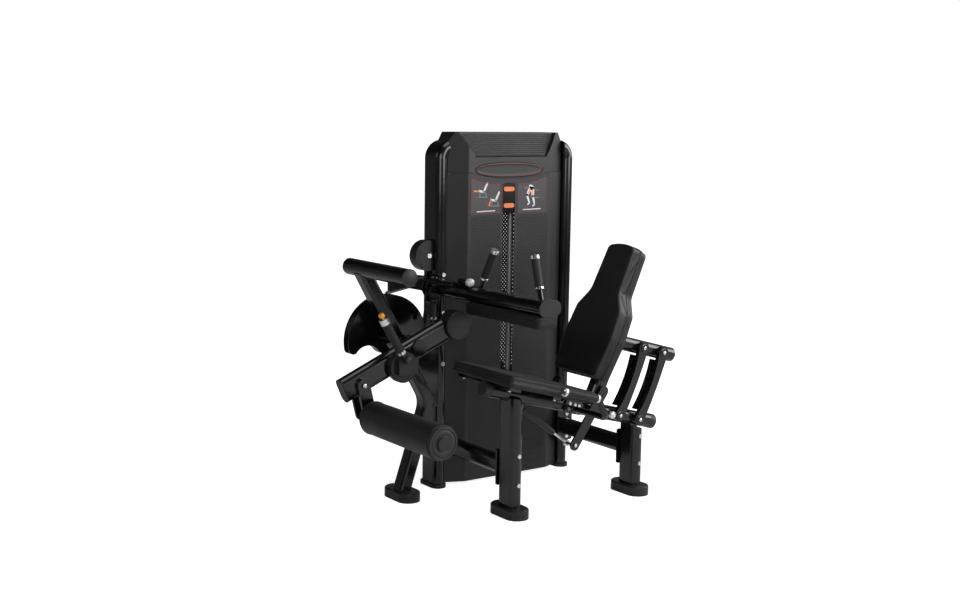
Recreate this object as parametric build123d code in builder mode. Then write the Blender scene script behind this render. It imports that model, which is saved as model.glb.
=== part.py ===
from build123d import *
import os
from math import sin, cos, tan, radians, atan2, degrees, sqrt, hypot

os.makedirs("parts", exist_ok=True)

# ---------------------------------------------------------------------------
# Leg extension machine with a selectorised weight tower.
# Millimetres, +Z up.  The user sits on the sloping seat and faces -X, the
# weight tower stands on the +Y side.  All pieces are laid out from the axis
# of the front seat leg; OX, OY carry that layout to the middle of the outer
# box, so the part's origin is the centre of its footprint on the floor.
# ---------------------------------------------------------------------------
OX, OY = 121.309, 167.0

# --- seat slope -------------------------------------------------------------
INCL = 15.1                    # fall of the seat rail towards the back, degrees
RAIL_Z = 490.7                 # rail axis height over the front leg
CI, SI = cos(radians(INCL)), sin(radians(INCL))
RAIL_R, RAIL_WALL = 30.5, 4.0
RAIL_S0, RAIL_S1 = -117.0, 745.0
RAIL_PLUG = 30.0

# --- seat legs, feet, floor beams -------------------------------------------
LEG_X, LEG_Y = 54.0, 108.0     # flat-oval leg section
REAR_X = 633.0                 # rear leg position
FOOT_H = 40.0
FOOT_X, FOOT_Y = 98.0, 190.0
BEAM_X, BEAM_H, BEAM_Z = 50.0, 76.0, 195.0
WALL = 4.0

# --- tower ------------------------------------------------------------------
TX, TY = 316.0, 528.0          # tower centre
UP_X, UP_Y = 54.0, 124.0       # flat-oval upright section
UP_OFF = 332.0                 # upright axis from the tower centre
ARCH_Z, ARCH_R = 1390.0, 51.0  # start and centreline radius of the top bend
TOWER_FOOT = 15.0
COVER_T = 4.0
COVER_FRONT = 455.0            # middle facet of the front cover
COVER_REAR = 601.0
SPLIT_Z = 1332.0               # hood to cover split at the sides
SPLIT_DIP = 1306.0             # and in the middle of the front
HOOD_TOP = 1500.0
SLOT_W, SLOT_Z0, SLOT_Z1 = 64.0, 125.0, 1287.0
SLOT_X = 309.0

# --- weight stack -----------------------------------------------------------
PLATE_X, PLATE_Y, PLATE_H, PLATE_PITCH = 320.0, 90.0, 24.5, 25.0
STACK_Z = 110.0
N_REST, N_LIFT = 8, 5
ROD_R, ROD_OFF = 12.0, 56.0
STEM_R = 14.0
PIN_R = 5.0
PIN_Z = STACK_Z + N_REST * PLATE_PITCH + PLATE_H / 2

# --- lift arm ---------------------------------------------------------------
PX, PZ = -257.0, 655.0         # main pivot, in line with the user's knee
SHAFT_R = 25.0
RUN = 0.05                     # radial running clearance
ARM_A = degrees(atan2(0.394, 0.919))
AC, AS = cos(radians(ARM_A)), sin(radians(ARM_A))
ARM_Y0, ARM_Y1 = 272.0, 322.0
ARM_H = 100.0
ARM_U0, ARM_U1 = -352.0, 197.0 # bar ends along its own axis, from the pivot
CW_R, CW_Y0 = 57.5, 256.0
ROLL_X, ROLL_Z, ROLL_R, ROLL_L = -484.0, 407.0, 65.0, 502.0
SPINDLE_R = 12.0
CAM_R, CAM_FLOOR = 185.0, 175.0
CAM_Y0, CAM_Y1 = 507.0, 549.0
LOCK_X, LOCK_Z = -341.0, 589.0 # lock housing centre on the bar

# --- belt and pulleys -------------------------------------------------------
BELT_W, BELT_T = 29.0, 3.0
BELT_GAP = 0.3
CAM_BR = CAM_FLOOR + BELT_GAP + BELT_T / 2
GX, GZ = -63.0, 990.0          # guard pulley axis
GP_R = 44.0
TP_R, TP_Z = 42.0, 1340.0
GP_BR = GP_R + BELT_GAP + BELT_T / 2
TP_BR = TP_R + BELT_GAP + BELT_T / 2
BELT_UPX = GX + GP_BR          # rising run inside the left upright
TPL_X = BELT_UPX + TP_BR
TPR_X = TX - TP_BR
ANCHOR_Z = 505.0

# --- thigh beam -------------------------------------------------------------
HX, HZ = -80.0, 888.0          # hinge axis of the thigh beam
HINGE_R = 12.0
TB_X, TB_Z = -10.0, 859.0
TB_W, TB_H = 104.0, 62.0
TB_Y0, TB_Y1 = -245.0, 455.0

# --- back carriage ----------------------------------------------------------
S_LOW1, S_LOW2 = 541.0, 656.0  # lower link pivots along the rail
LINK_DX, LINK_DZ = 124.0, 272.0
PIVOT_R = 10.0
ARM_IN, ARM_OUT = 33.0, 52.0   # link plate faces from the middle plane
BACK_A = 25.6                  # lean of the backrest from vertical
BC, BS = cos(radians(BACK_A)), sin(radians(BACK_A))
BACK_X, BACK_Z = 324.0, 584.0  # bottom edge of the backrest's front face
BACK_T, BACK_BOARD = 65.0, 15.0
GAS_PIN = (40.2, 432.2)
GAS_END = (285.0, 256.0)


# --- working planes, all in layout coordinates ------------------------------
def XY(z):
    return Plane(origin=(-OX, -OY, z), x_dir=(1, 0, 0), z_dir=(0, 0, 1))


def XZ(y):
    # local x is X, local y is Z, normal points to -Y
    return Plane(origin=(-OX, y - OY, 0), x_dir=(1, 0, 0), z_dir=(0, -1, 0))


def YZ(x):
    # local x is Y, local y is Z, normal points to +X
    return Plane(origin=(x - OX, -OY, 0), x_dir=(0, 1, 0), z_dir=(1, 0, 0))


def SL(y):
    # side plane of the slope: local x runs down the rail, local y is square up
    return Plane(origin=(-OX, y - OY, RAIL_Z), x_dir=(CI, 0, -SI), z_dir=(0, -1, 0))


def SC(s):
    # section plane of the rail at station s: local x is Y, local y is square up
    return Plane(origin=(s * CI - OX, -OY, RAIL_Z - s * SI), x_dir=(0, 1, 0), z_dir=(CI, 0, -SI))


def ST(n):
    # plane parallel to the seat, n above the rail axis: local x down the rail, local y is Y
    return Plane(origin=(n * SI - OX, -OY, RAIL_Z + n * CI), x_dir=(CI, 0, -SI), z_dir=(SI, 0, CI))


def AR(y):
    # side plane of the lever bar, origin on the pivot, local x along the bar
    return Plane(origin=(PX - OX, y - OY, PZ), x_dir=(AC, 0, AS), z_dir=(0, -1, 0))


def AX(u):
    # section plane of the lever bar: local x is Y, local y is square to the bar
    return Plane(origin=(PX + u * AC - OX, -OY, PZ + u * AS), x_dir=(0, 1, 0), z_dir=(AC, 0, AS))


def BK(w):
    # plane of the backrest, w behind its front face: local x is Y, local y is up the pad
    return Plane(origin=(BACK_X + w * BC - OX, -OY, BACK_Z - w * BS), x_dir=(0, 1, 0), z_dir=(BC, 0, -BS))


def spt(s, n, y):
    return (s * CI + n * SI - OX, y - OY, RAIL_Z - s * SI + n * CI)


def pt(x, y, z):
    return (x - OX, y - OY, z)


def bends(pts, r):
    # straight runs joined by tangent arcs of radius r; used inside BuildLine
    p = [Vector(*q) for q in pts]
    last = p[0]
    for i in range(1, len(p) - 1):
        a = (p[i - 1] - p[i]).normalized()
        b = (p[i + 1] - p[i]).normalized()
        half = radians(a.get_angle(b)) / 2
        t = r / tan(half)
        m = (a + b).normalized()
        p1, p2 = p[i] + a * t, p[i] + b * t
        mid = p[i] + m * (r / sin(half) - r)
        Line(last, p1)
        ThreePointArc(p1, mid, p2)
        last = p2
    Line(last, p[-1])


def pol(cx, cz, r, deg):
    return (cx + r * cos(radians(deg)), cz + r * sin(radians(deg)))


LOW1 = (S_LOW1 * CI, RAIL_Z - S_LOW1 * SI)
LOW2 = (S_LOW2 * CI, RAIL_Z - S_LOW2 * SI)
UPP1 = (LOW1[0] + LINK_DX, LOW1[1] + LINK_DZ)
UPP2 = (LOW2[0] + LINK_DX, LOW2[1] + LINK_DZ)
UL, UR = TX - UP_OFF, TX + UP_OFF

# ===========================================================================
# Fasteners of the fixed frame: domed heads with washers and short shanks
# ===========================================================================
BOLT_R, BOLT_H, SHANK_R = 8.5, 7.0, 5.0
CH_Y0, CH_Y1 = 503.0, 553.0    # outer faces of the top channel's cheeks
HANDLE_BOLTS = [(271, 9), (298, 8), (320, 6), (272, -13), (317, -18)]

with BuildPart() as frame_bolts:
    # legs to floor beams, heads on the outer faces of the legs
    for bx in (0.0, REAR_X):
        with BuildSketch(XZ(-LEG_Y / 2)):
            with Locations((bx, 250), (bx, 133)):
                Circle(BOLT_R)
        extrude(amount=BOLT_H)
        with BuildSketch(XZ(-LEG_Y / 2)):
            with Locations((bx, 250), (bx, 133)):
                Circle(SHANK_R)
        extrude(amount=-16)
    # uprights, front line
    fy = TY - UP_Y / 2
    with BuildSketch(XZ(fy)):
        with Locations((UL, 912), (UL, 752), (UL, 536)):
            Circle(BOLT_R)
    extrude(amount=BOLT_H)
    with BuildSketch(XZ(fy)):
        with Locations((UL, 912), (UL, 752), (UL, 536)):
            Circle(SHANK_R)
    extrude(amount=-16)
    # floor beam flanges on the uprights
    with BuildSketch(XZ(456)):
        with Locations((UL - 1, 246), (UL - 1, 143), (UR + 3, 246), (UR + 3, 143)):
            Circle(BOLT_R)
    extrude(amount=BOLT_H)
    with BuildSketch(XZ(456)):
        with Locations((UL - 1, 246), (UL - 1, 143), (UR + 3, 246), (UR + 3, 143)):
            Circle(SHANK_R)
    extrude(amount=-22)
    # lower tie bracket and stop bracket on the side of the left upright
    side_bolts = [(500, 430), (500, 520), (536, 548), (536, 400), (481, 872), (481, 842)]
    with BuildSketch(YZ(-51)):
        with Locations(*side_bolts):
            Circle(BOLT_R)
    extrude(amount=-BOLT_H)
    with BuildSketch(YZ(-51)):
        with Locations(*side_bolts):
            Circle(SHANK_R)
    extrude(amount=18)
    # seat handle plates, both sides
    for sy, sg in ((-39.0, 1), (39.0, -1)):
        with BuildSketch(SL(sy)):
            with Locations(*HANDLE_BOLTS):
                Circle(6.5)
        extrude(amount=5.0 * sg)
        with BuildSketch(SL(sy)):
            with Locations(*HANDLE_BOLTS):
                Circle(3.5)
        extrude(amount=-8.0 * sg)
    # seat board bolts under the cross bars
    with BuildSketch(ST(19)):
        with Locations((-132, 150), (-132, -150), (94, 150), (94, -150)):
            Circle(7)
    extrude(amount=-5)
    with BuildSketch(ST(19)):
        with Locations((-132, 150), (-132, -150), (94, 150), (94, -150)):
            Circle(4)
    extrude(amount=20)
frame_bolts.part.label = "frame_bolts"
export_step(frame_bolts.part, "parts/frame_bolts.step")

with BuildPart() as pulley_bolts:
    # through bolts of the three pulleys with a head at each end
    for bx, bz, y0, y1 in ((TPL_X, TP_Z, CH_Y0, CH_Y1), (TPR_X, TP_Z, CH_Y0, CH_Y1), (GX, GZ, 503, 553)):
        with BuildSketch(XZ(y1)):
            with Locations((bx, bz)):
                Circle(8)
        extrude(amount=y1 - y0)
        with BuildSketch(XZ(y1 + 8)):
            with Locations((bx, bz)):
                RegularPolygon(12, 6)
        extrude(amount=8)
        with BuildSketch(XZ(y0)):
            with Locations((bx, bz)):
                Circle(10)
        extrude(amount=6)
pulley_bolts.part.label = "pulley_bolts"
export_step(pulley_bolts.part, "parts/pulley_bolts.step")

# ===========================================================================
# Weight tower
# ===========================================================================
with BuildPart() as tower_frame:
    # two flat-oval uprights bent in over the top
    for side in (-1, 1):
        ux = TX + side * UP_OFF
        with BuildLine(XZ(TY)) as up_path:
            Line((ux, TOWER_FOOT), (ux, ARCH_Z))
            ThreePointArc((ux, ARCH_Z),
                          (ux - side * ARCH_R * (1 - cos(radians(45))), ARCH_Z + ARCH_R * sin(radians(45))),
                          (ux - side * ARCH_R, ARCH_Z + ARCH_R))
        with BuildSketch(XY(TOWER_FOOT)):
            with Locations((ux, TY)):
                SlotOverall(UP_Y, UP_X, rotation=90)
                SlotOverall(UP_Y - 2 * 3, UP_X - 2 * 3, rotation=90, mode=Mode.SUBTRACT)
        sweep(path=up_path.wire())
    # trim the bends square where the hood takes over
    with BuildSketch(XZ(TY + 80)):
        with Locations((TX, 1440)):
            Rectangle(2 * (TX - 12), 200)
    extrude(amount=160, mode=Mode.SUBTRACT)
    # end plates of the bends
    for ex in (12.0, 2 * TX - 15.0):
        with BuildSketch(YZ(ex)):
            with Locations((TY, 1433)):
                SlotOverall(UP_Y, 64)
        extrude(amount=3)
    # top channel between the uprights, open below, with deeper cheeks for the pulleys
    with BuildSketch(YZ(15)):
        with Locations((TY, 1448)):
            Rectangle(CH_Y1 - CH_Y0, 4)
        with Locations((CH_Y0 + 2, 1430), (CH_Y1 - 2, 1430)):
            Rectangle(4, 40)
    extrude(amount=2 * (TX - 15))
    with BuildSketch(YZ(11)):
        with Locations((CH_Y0 + 2, 1348), (CH_Y1 - 2, 1348)):
            Rectangle(4, 132)
    extrude(amount=310)
    # rod head plate with a slot for the belt
    with BuildSketch(XY(1282)):
        with Locations((TX, TY)):
            Rectangle(2 * (TX - 11), CH_Y1 - CH_Y0)
            Rectangle(40, 36, mode=Mode.SUBTRACT)
    extrude(amount=8)
    # foot channel that carries the guide rods
    with BuildSketch(YZ(11)):
        with Locations((TY, 65)):
            Rectangle(52, 50)
        with Locations((TY, 61)):
            Rectangle(44, 50, mode=Mode.SUBTRACT)
    extrude(amount=2 * (TX - 11))
    # belt slots in the left upright: low on the outside, high on the inside
    with BuildSketch(YZ(UL - 30)):
        with Locations((TY, 915)):
            Rectangle(42, 262)
    extrude(amount=10, mode=Mode.SUBTRACT)
    with BuildSketch(YZ(UL + 20)):
        with Locations((TY, 1338)):
            Rectangle(42, 96)
    extrude(amount=9, mode=Mode.SUBTRACT)
    add(frame_bolts.part, mode=Mode.SUBTRACT)
    add(pulley_bolts.part, mode=Mode.SUBTRACT)
tower_frame.part.label = "tower_frame"
export_step(tower_frame.part, "parts/tower_frame.step")


def half_cover(y_mid, y_edge, y_lip, t):
    # closed outline of one cover half: lip, facet, middle facet, facet, lip
    d = 1 if y_edge > y_mid else -1
    outer = [(12, y_lip), (12, y_edge), (99, y_mid), (538, y_mid), (617, y_edge), (617, y_lip)]
    inner = [(613, y_lip), (613, y_edge + 2.3 * d), (537.2, y_mid + t * d), (99.8, y_mid + t * d),
             (16, y_edge + 2.7 * d), (16, y_lip)]
    a = FilletPolyline(*outer, radius=(4, 24, 24, 4))
    b = FilletPolyline(*inner, radius=(2, 20, 20, 2))
    Line(a @ 1, b @ 0)
    Line(b @ 1, a @ 0)


with BuildPart() as front_cover:
    with BuildSketch(XY(TOWER_FOOT)):
        with BuildLine():
            half_cover(COVER_FRONT, 490, 500, COVER_T)
        make_face()
    extrude(amount=1340 - TOWER_FOOT)
    # curved top edge under the hood
    with BuildSketch(XZ(560)):
        with BuildLine():
            Line((0, SPLIT_Z - 1), (110, SPLIT_Z - 1))
            ThreePointArc((110, SPLIT_Z - 1), (TX, SPLIT_DIP - 1), (530, SPLIT_Z - 1))
            Line((530, SPLIT_Z - 1), (640, SPLIT_Z - 1))
            Line((640, SPLIT_Z - 1), (640, 1400))
            Line((640, 1400), (0, 1400))
            Line((0, 1400), (0, SPLIT_Z - 1))
        make_face()
    extrude(amount=140, mode=Mode.SUBTRACT)
    # window slot in front of the stack
    with BuildSketch(XZ(480)):
        with Locations((SLOT_X, (SLOT_Z0 + SLOT_Z1) / 2)):
            RectangleRounded(SLOT_W, SLOT_Z1 - SLOT_Z0, 16)
    extrude(amount=40, mode=Mode.SUBTRACT)
    # shallow line above the skirt
    with BuildSketch(XZ(456.2)):
        with Locations((TX, 64)):
            Rectangle(700, 2.4)
    extrude(amount=3, mode=Mode.SUBTRACT)
front_cover.part.label = "front_cover"
export_step(front_cover.part, "parts/front_cover.step")

with BuildPart() as rear_cover:
    with BuildSketch(XY(TOWER_FOOT)):
        with BuildLine():
            half_cover(COVER_REAR, 566, 556, COVER_T)
        make_face()
    extrude(amount=SPLIT_Z - 1 - TOWER_FOOT)
rear_cover.part.label = "rear_cover"
export_step(rear_cover.part, "parts/rear_cover.step")

# hood: outer shell, hollowed, with a sloped recess in its brow
with BuildPart() as brow_cut:
    with BuildSketch(YZ(20)):
        Polygon((450, 1396), (456, 1396), (466, 1402), (487, 1502), (450, 1502), align=None)
    extrude(amount=600)
    with BuildSketch(XZ(520)):
        Polygon((134, 1396), (508, 1396), (566, 1502), (58, 1502), align=None)
    extrude(amount=90, mode=Mode.INTERSECT)

with BuildPart() as hood_core:
    with BuildSketch(XY(1290)):
        Polygon((20, 492.7), (99.8, 459), (537.2, 459), (610, 492.7), (610, 563.3), (537.2, 597),
                (99.8, 597), (20, 563.3), align=None)
    extrude(amount=HOOD_TOP - COVER_T - 1290)
    with BuildSketch(XZ(650)):
        Polygon((10, 1451), (52, 1506), (10, 1506), align=None)
        Polygon((620, 1451), (578, 1506), (620, 1506), align=None)
    extrude(amount=220, mode=Mode.SUBTRACT)
    with BuildSketch(YZ(20)):
        Polygon((450, 1390), (460, 1390), (471, 1398), (493, 1502), (450, 1502), align=None)
    extrude(amount=600, mode=Mode.SUBTRACT)

with BuildPart() as hood:
    with BuildSketch(XY(1300)):
        with BuildLine():
            FilletPolyline((16, 490), (99, 455), (538, 455), (614, 490), (614, 566), (538, 601), (99, 601), (16, 566),
                           radius=(4, 24, 24, 4, 4, 24, 24, 4), close=True)
        make_face()
    extrude(amount=HOOD_TOP - 1300)
    with BuildSketch(XZ(650)):
        Polygon((10, 1452), (46, 1500), (46, 1510), (10, 1510), align=None)
        Polygon((620, 1452), (584, 1500), (584, 1510), (620, 1510), align=None)
    extrude(amount=220, mode=Mode.SUBTRACT)
    add(brow_cut.part, mode=Mode.SUBTRACT)
    add(hood_core.part, mode=Mode.SUBTRACT)
    # lower edge follows the curved top of the front cover
    with BuildSketch(XZ(650)):
        with BuildLine():
            Line((0, SPLIT_Z), (110, SPLIT_Z))
            ThreePointArc((110, SPLIT_Z), (TX, SPLIT_DIP), (530, SPLIT_Z))
            Line((530, SPLIT_Z), (640, SPLIT_Z))
            Line((640, SPLIT_Z), (640, 1280))
            Line((640, 1280), (0, 1280))
            Line((0, 1280), (0, SPLIT_Z))
        make_face()
    extrude(amount=220, mode=Mode.SUBTRACT)
    with BuildSketch(XZ(650)):
        with Locations((TX, 1310)):
            Rectangle(640, 2 * (SPLIT_Z - 1310))
    extrude(amount=100, mode=Mode.SUBTRACT)
    # side openings for the top channel and the pulley cheeks
    with BuildSketch(YZ(5)):
        with Locations((TY, 1380)):
            Rectangle(72, 148)
    extrude(amount=630, mode=Mode.SUBTRACT)
hood.part.label = "hood"
export_step(hood.part, "parts/hood.step")

with BuildPart() as window_block:
    with BuildSketch(XZ(464)):
        with Locations((SLOT_X, 1225)):
            Rectangle(82, 134)
    extrude(amount=5)
    with BuildSketch(XZ(459)):
        with Locations((SLOT_X, 1225)):
            RectangleRounded(SLOT_W - 2, 122, 14)
    extrude(amount=3)
window_block.part.label = "window_block"
export_step(window_block.part, "parts/window_block.step")

with BuildPart() as range_markers:
    with BuildSketch(XZ(456)):
        with Locations((SLOT_X, 1261.5), (SLOT_X, 1191.5)):
            SlotOverall(55, 19)
    extrude(amount=3)
range_markers.part.label = "range_markers"
export_step(range_markers.part, "parts/range_markers.step")

with BuildPart() as guide_rods:
    with BuildSketch(XY(90)):
        with Locations((TX - ROD_OFF, TY), (TX + ROD_OFF, TY)):
            Circle(ROD_R)
    extrude(amount=1282 - 90)
guide_rods.part.label = "guide_rods"
export_step(guide_rods.part, "parts/guide_rods.step")

with BuildPart() as stack_bumpers:
    with BuildSketch(XY(90)):
        with Locations((TX - ROD_OFF, TY), (TX + ROD_OFF, TY)):
            Circle(22)
            Circle(ROD_R, mode=Mode.SUBTRACT)
    extrude(amount=STACK_Z - 90)
stack_bumpers.part.label = "stack_bumpers"
export_step(stack_bumpers.part, "parts/stack_bumpers.step")

# resting plates: rod holes, stem hole and a front hole for the selector pin
with BuildPart() as resting_plates:
    for i in range(N_REST):
        with BuildSketch(XY(STACK_Z + i * PLATE_PITCH)):
            with Locations((TX, TY)):
                RectangleRounded(PLATE_X, PLATE_Y, 8)
            with Locations((TX - ROD_OFF, TY), (TX + ROD_OFF, TY)):
                Circle(ROD_R + 1, mode=Mode.SUBTRACT)
            with Locations((TX, TY)):
                Circle(STEM_R + 1.5, mode=Mode.SUBTRACT)
        extrude(amount=PLATE_H)
    with BuildSketch(XZ(TY)):
        for i in range(N_REST):
            with Locations((TX, STACK_Z + i * PLATE_PITCH + PLATE_H / 2)):
                Circle(PIN_R + 0.3)
    extrude(amount=60, mode=Mode.SUBTRACT)
resting_plates.part.label = "resting_plates"
export_step(resting_plates.part, "parts/resting_plates.step")

# lifted plates and the thicker top plate, whose bores run on the guide rods
TOP_PLATE_Z = STACK_Z + (N_REST + N_LIFT) * PLATE_PITCH
with BuildPart() as lifted_plates:
    for i in range(N_LIFT):
        with BuildSketch(XY(STACK_Z + (N_REST + i) * PLATE_PITCH)):
            with Locations((TX, TY)):
                RectangleRounded(PLATE_X, PLATE_Y, 8)
            with Locations((TX - ROD_OFF, TY), (TX + ROD_OFF, TY)):
                Circle(ROD_R + 1, mode=Mode.SUBTRACT)
            with Locations((TX, TY)):
                Circle(STEM_R + 1.5, mode=Mode.SUBTRACT)
        extrude(amount=PLATE_H)
    with BuildSketch(XZ(TY)):
        for i in range(N_LIFT):
            with Locations((TX, STACK_Z + (N_REST + i) * PLATE_PITCH + PLATE_H / 2)):
                Circle(PIN_R + 0.3)
    extrude(amount=60, mode=Mode.SUBTRACT)
    with BuildSketch(XY(TOP_PLATE_Z)):
        with Locations((TX, TY)):
            RectangleRounded(PLATE_X, PLATE_Y, 8)
        with Locations((TX - ROD_OFF, TY), (TX + ROD_OFF, TY)):
            Circle(ROD_R + RUN, mode=Mode.SUBTRACT)
        with Locations((TX, TY)):
            Circle(STEM_R, mode=Mode.SUBTRACT)
    extrude(amount=30)
lifted_plates.part.label = "lifted_plates"
export_step(lifted_plates.part, "parts/lifted_plates.step")

with BuildPart() as selector_stem:
    with BuildSketch(XY(STACK_Z + 4)):
        with Locations((TX, TY)):
            Circle(STEM_R)
    extrude(amount=TOP_PLATE_Z + 30 - STACK_Z - 4)
    with BuildSketch(XY(TOP_PLATE_Z + 30)):
        with Locations((TX, TY)):
            RectangleRounded(36, 40, 4)
    extrude(amount=ANCHOR_Z - TOP_PLATE_Z - 30)
    with BuildSketch(XZ(TY + 30)):
        for i in range(N_REST + N_LIFT):
            with Locations((TX, STACK_Z + i * PLATE_PITCH + PLATE_H / 2)):
                Circle(PIN_R + RUN)
    extrude(amount=60, mode=Mode.SUBTRACT)
selector_stem.part.label = "selector_stem"
export_step(selector_stem.part, "parts/selector_stem.step")

with BuildPart() as selector_pin:
    with BuildSketch(XZ(541)):
        with Locations((TX, PIN_Z)):
            Circle(PIN_R)
    extrude(amount=541 - 466)
    with BuildSketch(XZ(470)):
        with Locations((TX, PIN_Z)):
            Circle(14)
    extrude(amount=28)
    fillet(selector_pin.edges().filter_by(GeomType.CIRCLE).sort_by(Axis.Y)[0], 5)
selector_pin.part.label = "selector_pin"
export_step(selector_pin.part, "parts/selector_pin.step")

# ===========================================================================
# Belt and pulleys
# ===========================================================================
cg = hypot(GX - PX, GZ - PZ)
cg_a = degrees(atan2(GZ - PZ, GX - PX))
TAN_A = cg_a - degrees(atan2(sqrt(cg ** 2 - (CAM_BR - GP_BR) ** 2), CAM_BR - GP_BR))
cam_t = pol(PX, PZ, CAM_BR, TAN_A)
gp_t = pol(GX, GZ, GP_BR, TAN_A)

with BuildPart() as belt_run:
    with BuildLine(XZ(TY)) as belt_path:
        ThreePointArc(pol(PX, PZ, CAM_BR, TAN_A - 6), pol(PX, PZ, CAM_BR, TAN_A - 3), cam_t)
        Line(cam_t, gp_t)
        ThreePointArc(gp_t, pol(GX, GZ, GP_BR, TAN_A / 2), (BELT_UPX, GZ))
        Line((BELT_UPX, GZ), (BELT_UPX, TP_Z))
        ThreePointArc((BELT_UPX, TP_Z), pol(TPL_X, TP_Z, TP_BR, 135), (TPL_X, TP_Z + TP_BR))
        Line((TPL_X, TP_Z + TP_BR), (TPR_X, TP_Z + TP_BR))
        ThreePointArc((TPR_X, TP_Z + TP_BR), pol(TPR_X, TP_Z, TP_BR, 45), (TX, TP_Z))
    w = belt_path.wire()
    with BuildSketch(Plane(origin=w @ 0, x_dir=(0, 1, 0), z_dir=w % 0)):
        Rectangle(BELT_W, BELT_T)
    sweep(path=w)
belt_run.part.label = "belt_run"
export_step(belt_run.part, "parts/belt_run.step")

with BuildPart() as belt_drop:
    with BuildSketch(XY(ANCHOR_Z)):
        with Locations((TX, TY)):
            Rectangle(BELT_T, BELT_W)
    extrude(amount=TP_Z - ANCHOR_Z)
belt_drop.part.label = "belt_drop"
export_step(belt_drop.part, "parts/belt_drop.step")


def pulley_profile(r_floor, r_flange, r_bore):
    # half section about the pulley axis: x is radius, y is width
    Polygon((r_bore, -18), (22, -18), (22, -17), (r_flange, -17), (r_flange, -15.2), (r_floor, -15),
            (r_floor, 15), (r_flange, 15.2), (r_flange, 17), (22, 17), (22, 18), (r_bore, 18), align=None)


with BuildPart() as top_pulley_left:
    with BuildSketch(Plane(origin=pt(TPL_X, TY, TP_Z), x_dir=(1, 0, 0), z_dir=(0, 0, 1))):
        pulley_profile(TP_R, TP_R + 6, 8 + RUN)
    revolve(axis=Axis(pt(TPL_X, TY, TP_Z), (0, 1, 0)), revolution_arc=360)
top_pulley_left.part.label = "top_pulley_left"
export_step(top_pulley_left.part, "parts/top_pulley_left.step")

with BuildPart() as top_pulley_right:
    with BuildSketch(Plane(origin=pt(TPR_X, TY, TP_Z), x_dir=(1, 0, 0), z_dir=(0, 0, 1))):
        pulley_profile(TP_R, TP_R + 6, 8 + RUN)
    revolve(axis=Axis(pt(TPR_X, TY, TP_Z), (0, 1, 0)), revolution_arc=360)
top_pulley_right.part.label = "top_pulley_right"
export_step(top_pulley_right.part, "parts/top_pulley_right.step")

with BuildPart() as guard_pulley:
    with BuildSketch(Plane(origin=pt(GX, TY, GZ), x_dir=(1, 0, 0), z_dir=(0, 0, 1))):
        pulley_profile(GP_R, GP_R + 6, 8 + RUN)
    revolve(axis=Axis(pt(GX, TY, GZ), (0, 1, 0)), revolution_arc=360)
guard_pulley.part.label = "guard_pulley"
export_step(guard_pulley.part, "parts/guard_pulley.step")

# D-shaped guard: two cheeks and a rim band, flat side against the upright
with BuildPart() as guard_housing:
    with BuildSketch(XZ(553)):
        with Locations((GX, GZ)):
            Circle(64)
        with Locations((GX + 84 + 20, GZ)):
            Rectangle(168, 160, mode=Mode.SUBTRACT)
    extrude(amount=50)
    with BuildSketch(XZ(550)):
        with Locations((GX, GZ)):
            Circle(61)
        with Locations((GX + 30, GZ)):
            Rectangle(60, 104)
    extrude(amount=44, mode=Mode.SUBTRACT)
    with BuildSketch(XZ(560)):
        with Locations((GX, GZ)):
            Circle(8)
    extrude(amount=70, mode=Mode.SUBTRACT)
guard_housing.part.label = "guard_housing"
export_step(guard_housing.part, "parts/guard_housing.step")

# ===========================================================================
# Knee side: bent post, cross tube, tie brackets, all welded
# ===========================================================================
POST_Y, POST_W, POST_T = 432.0, 66.0, 54.0
CT_X, CT_Z, CT_R = -418.0, 963.0, 33.5
CT_Y0, CT_Y1 = 90.0, 540.0

with BuildPart() as post_core:
    # solid of the post's inside, used to hollow the tube
    with BuildLine(XZ(POST_Y)) as core_path:
        FilletPolyline((-239.7, 18), (-112, 399), (-405.6, 921), radius=110)
    w = core_path.wire()
    with BuildSketch(Plane(origin=w @ 0, x_dir=(0, 1, 0), z_dir=w % 0)):
        RectangleRounded(POST_W - 2 * WALL, POST_T - 2 * WALL, 8)
    sweep(path=w)

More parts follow.
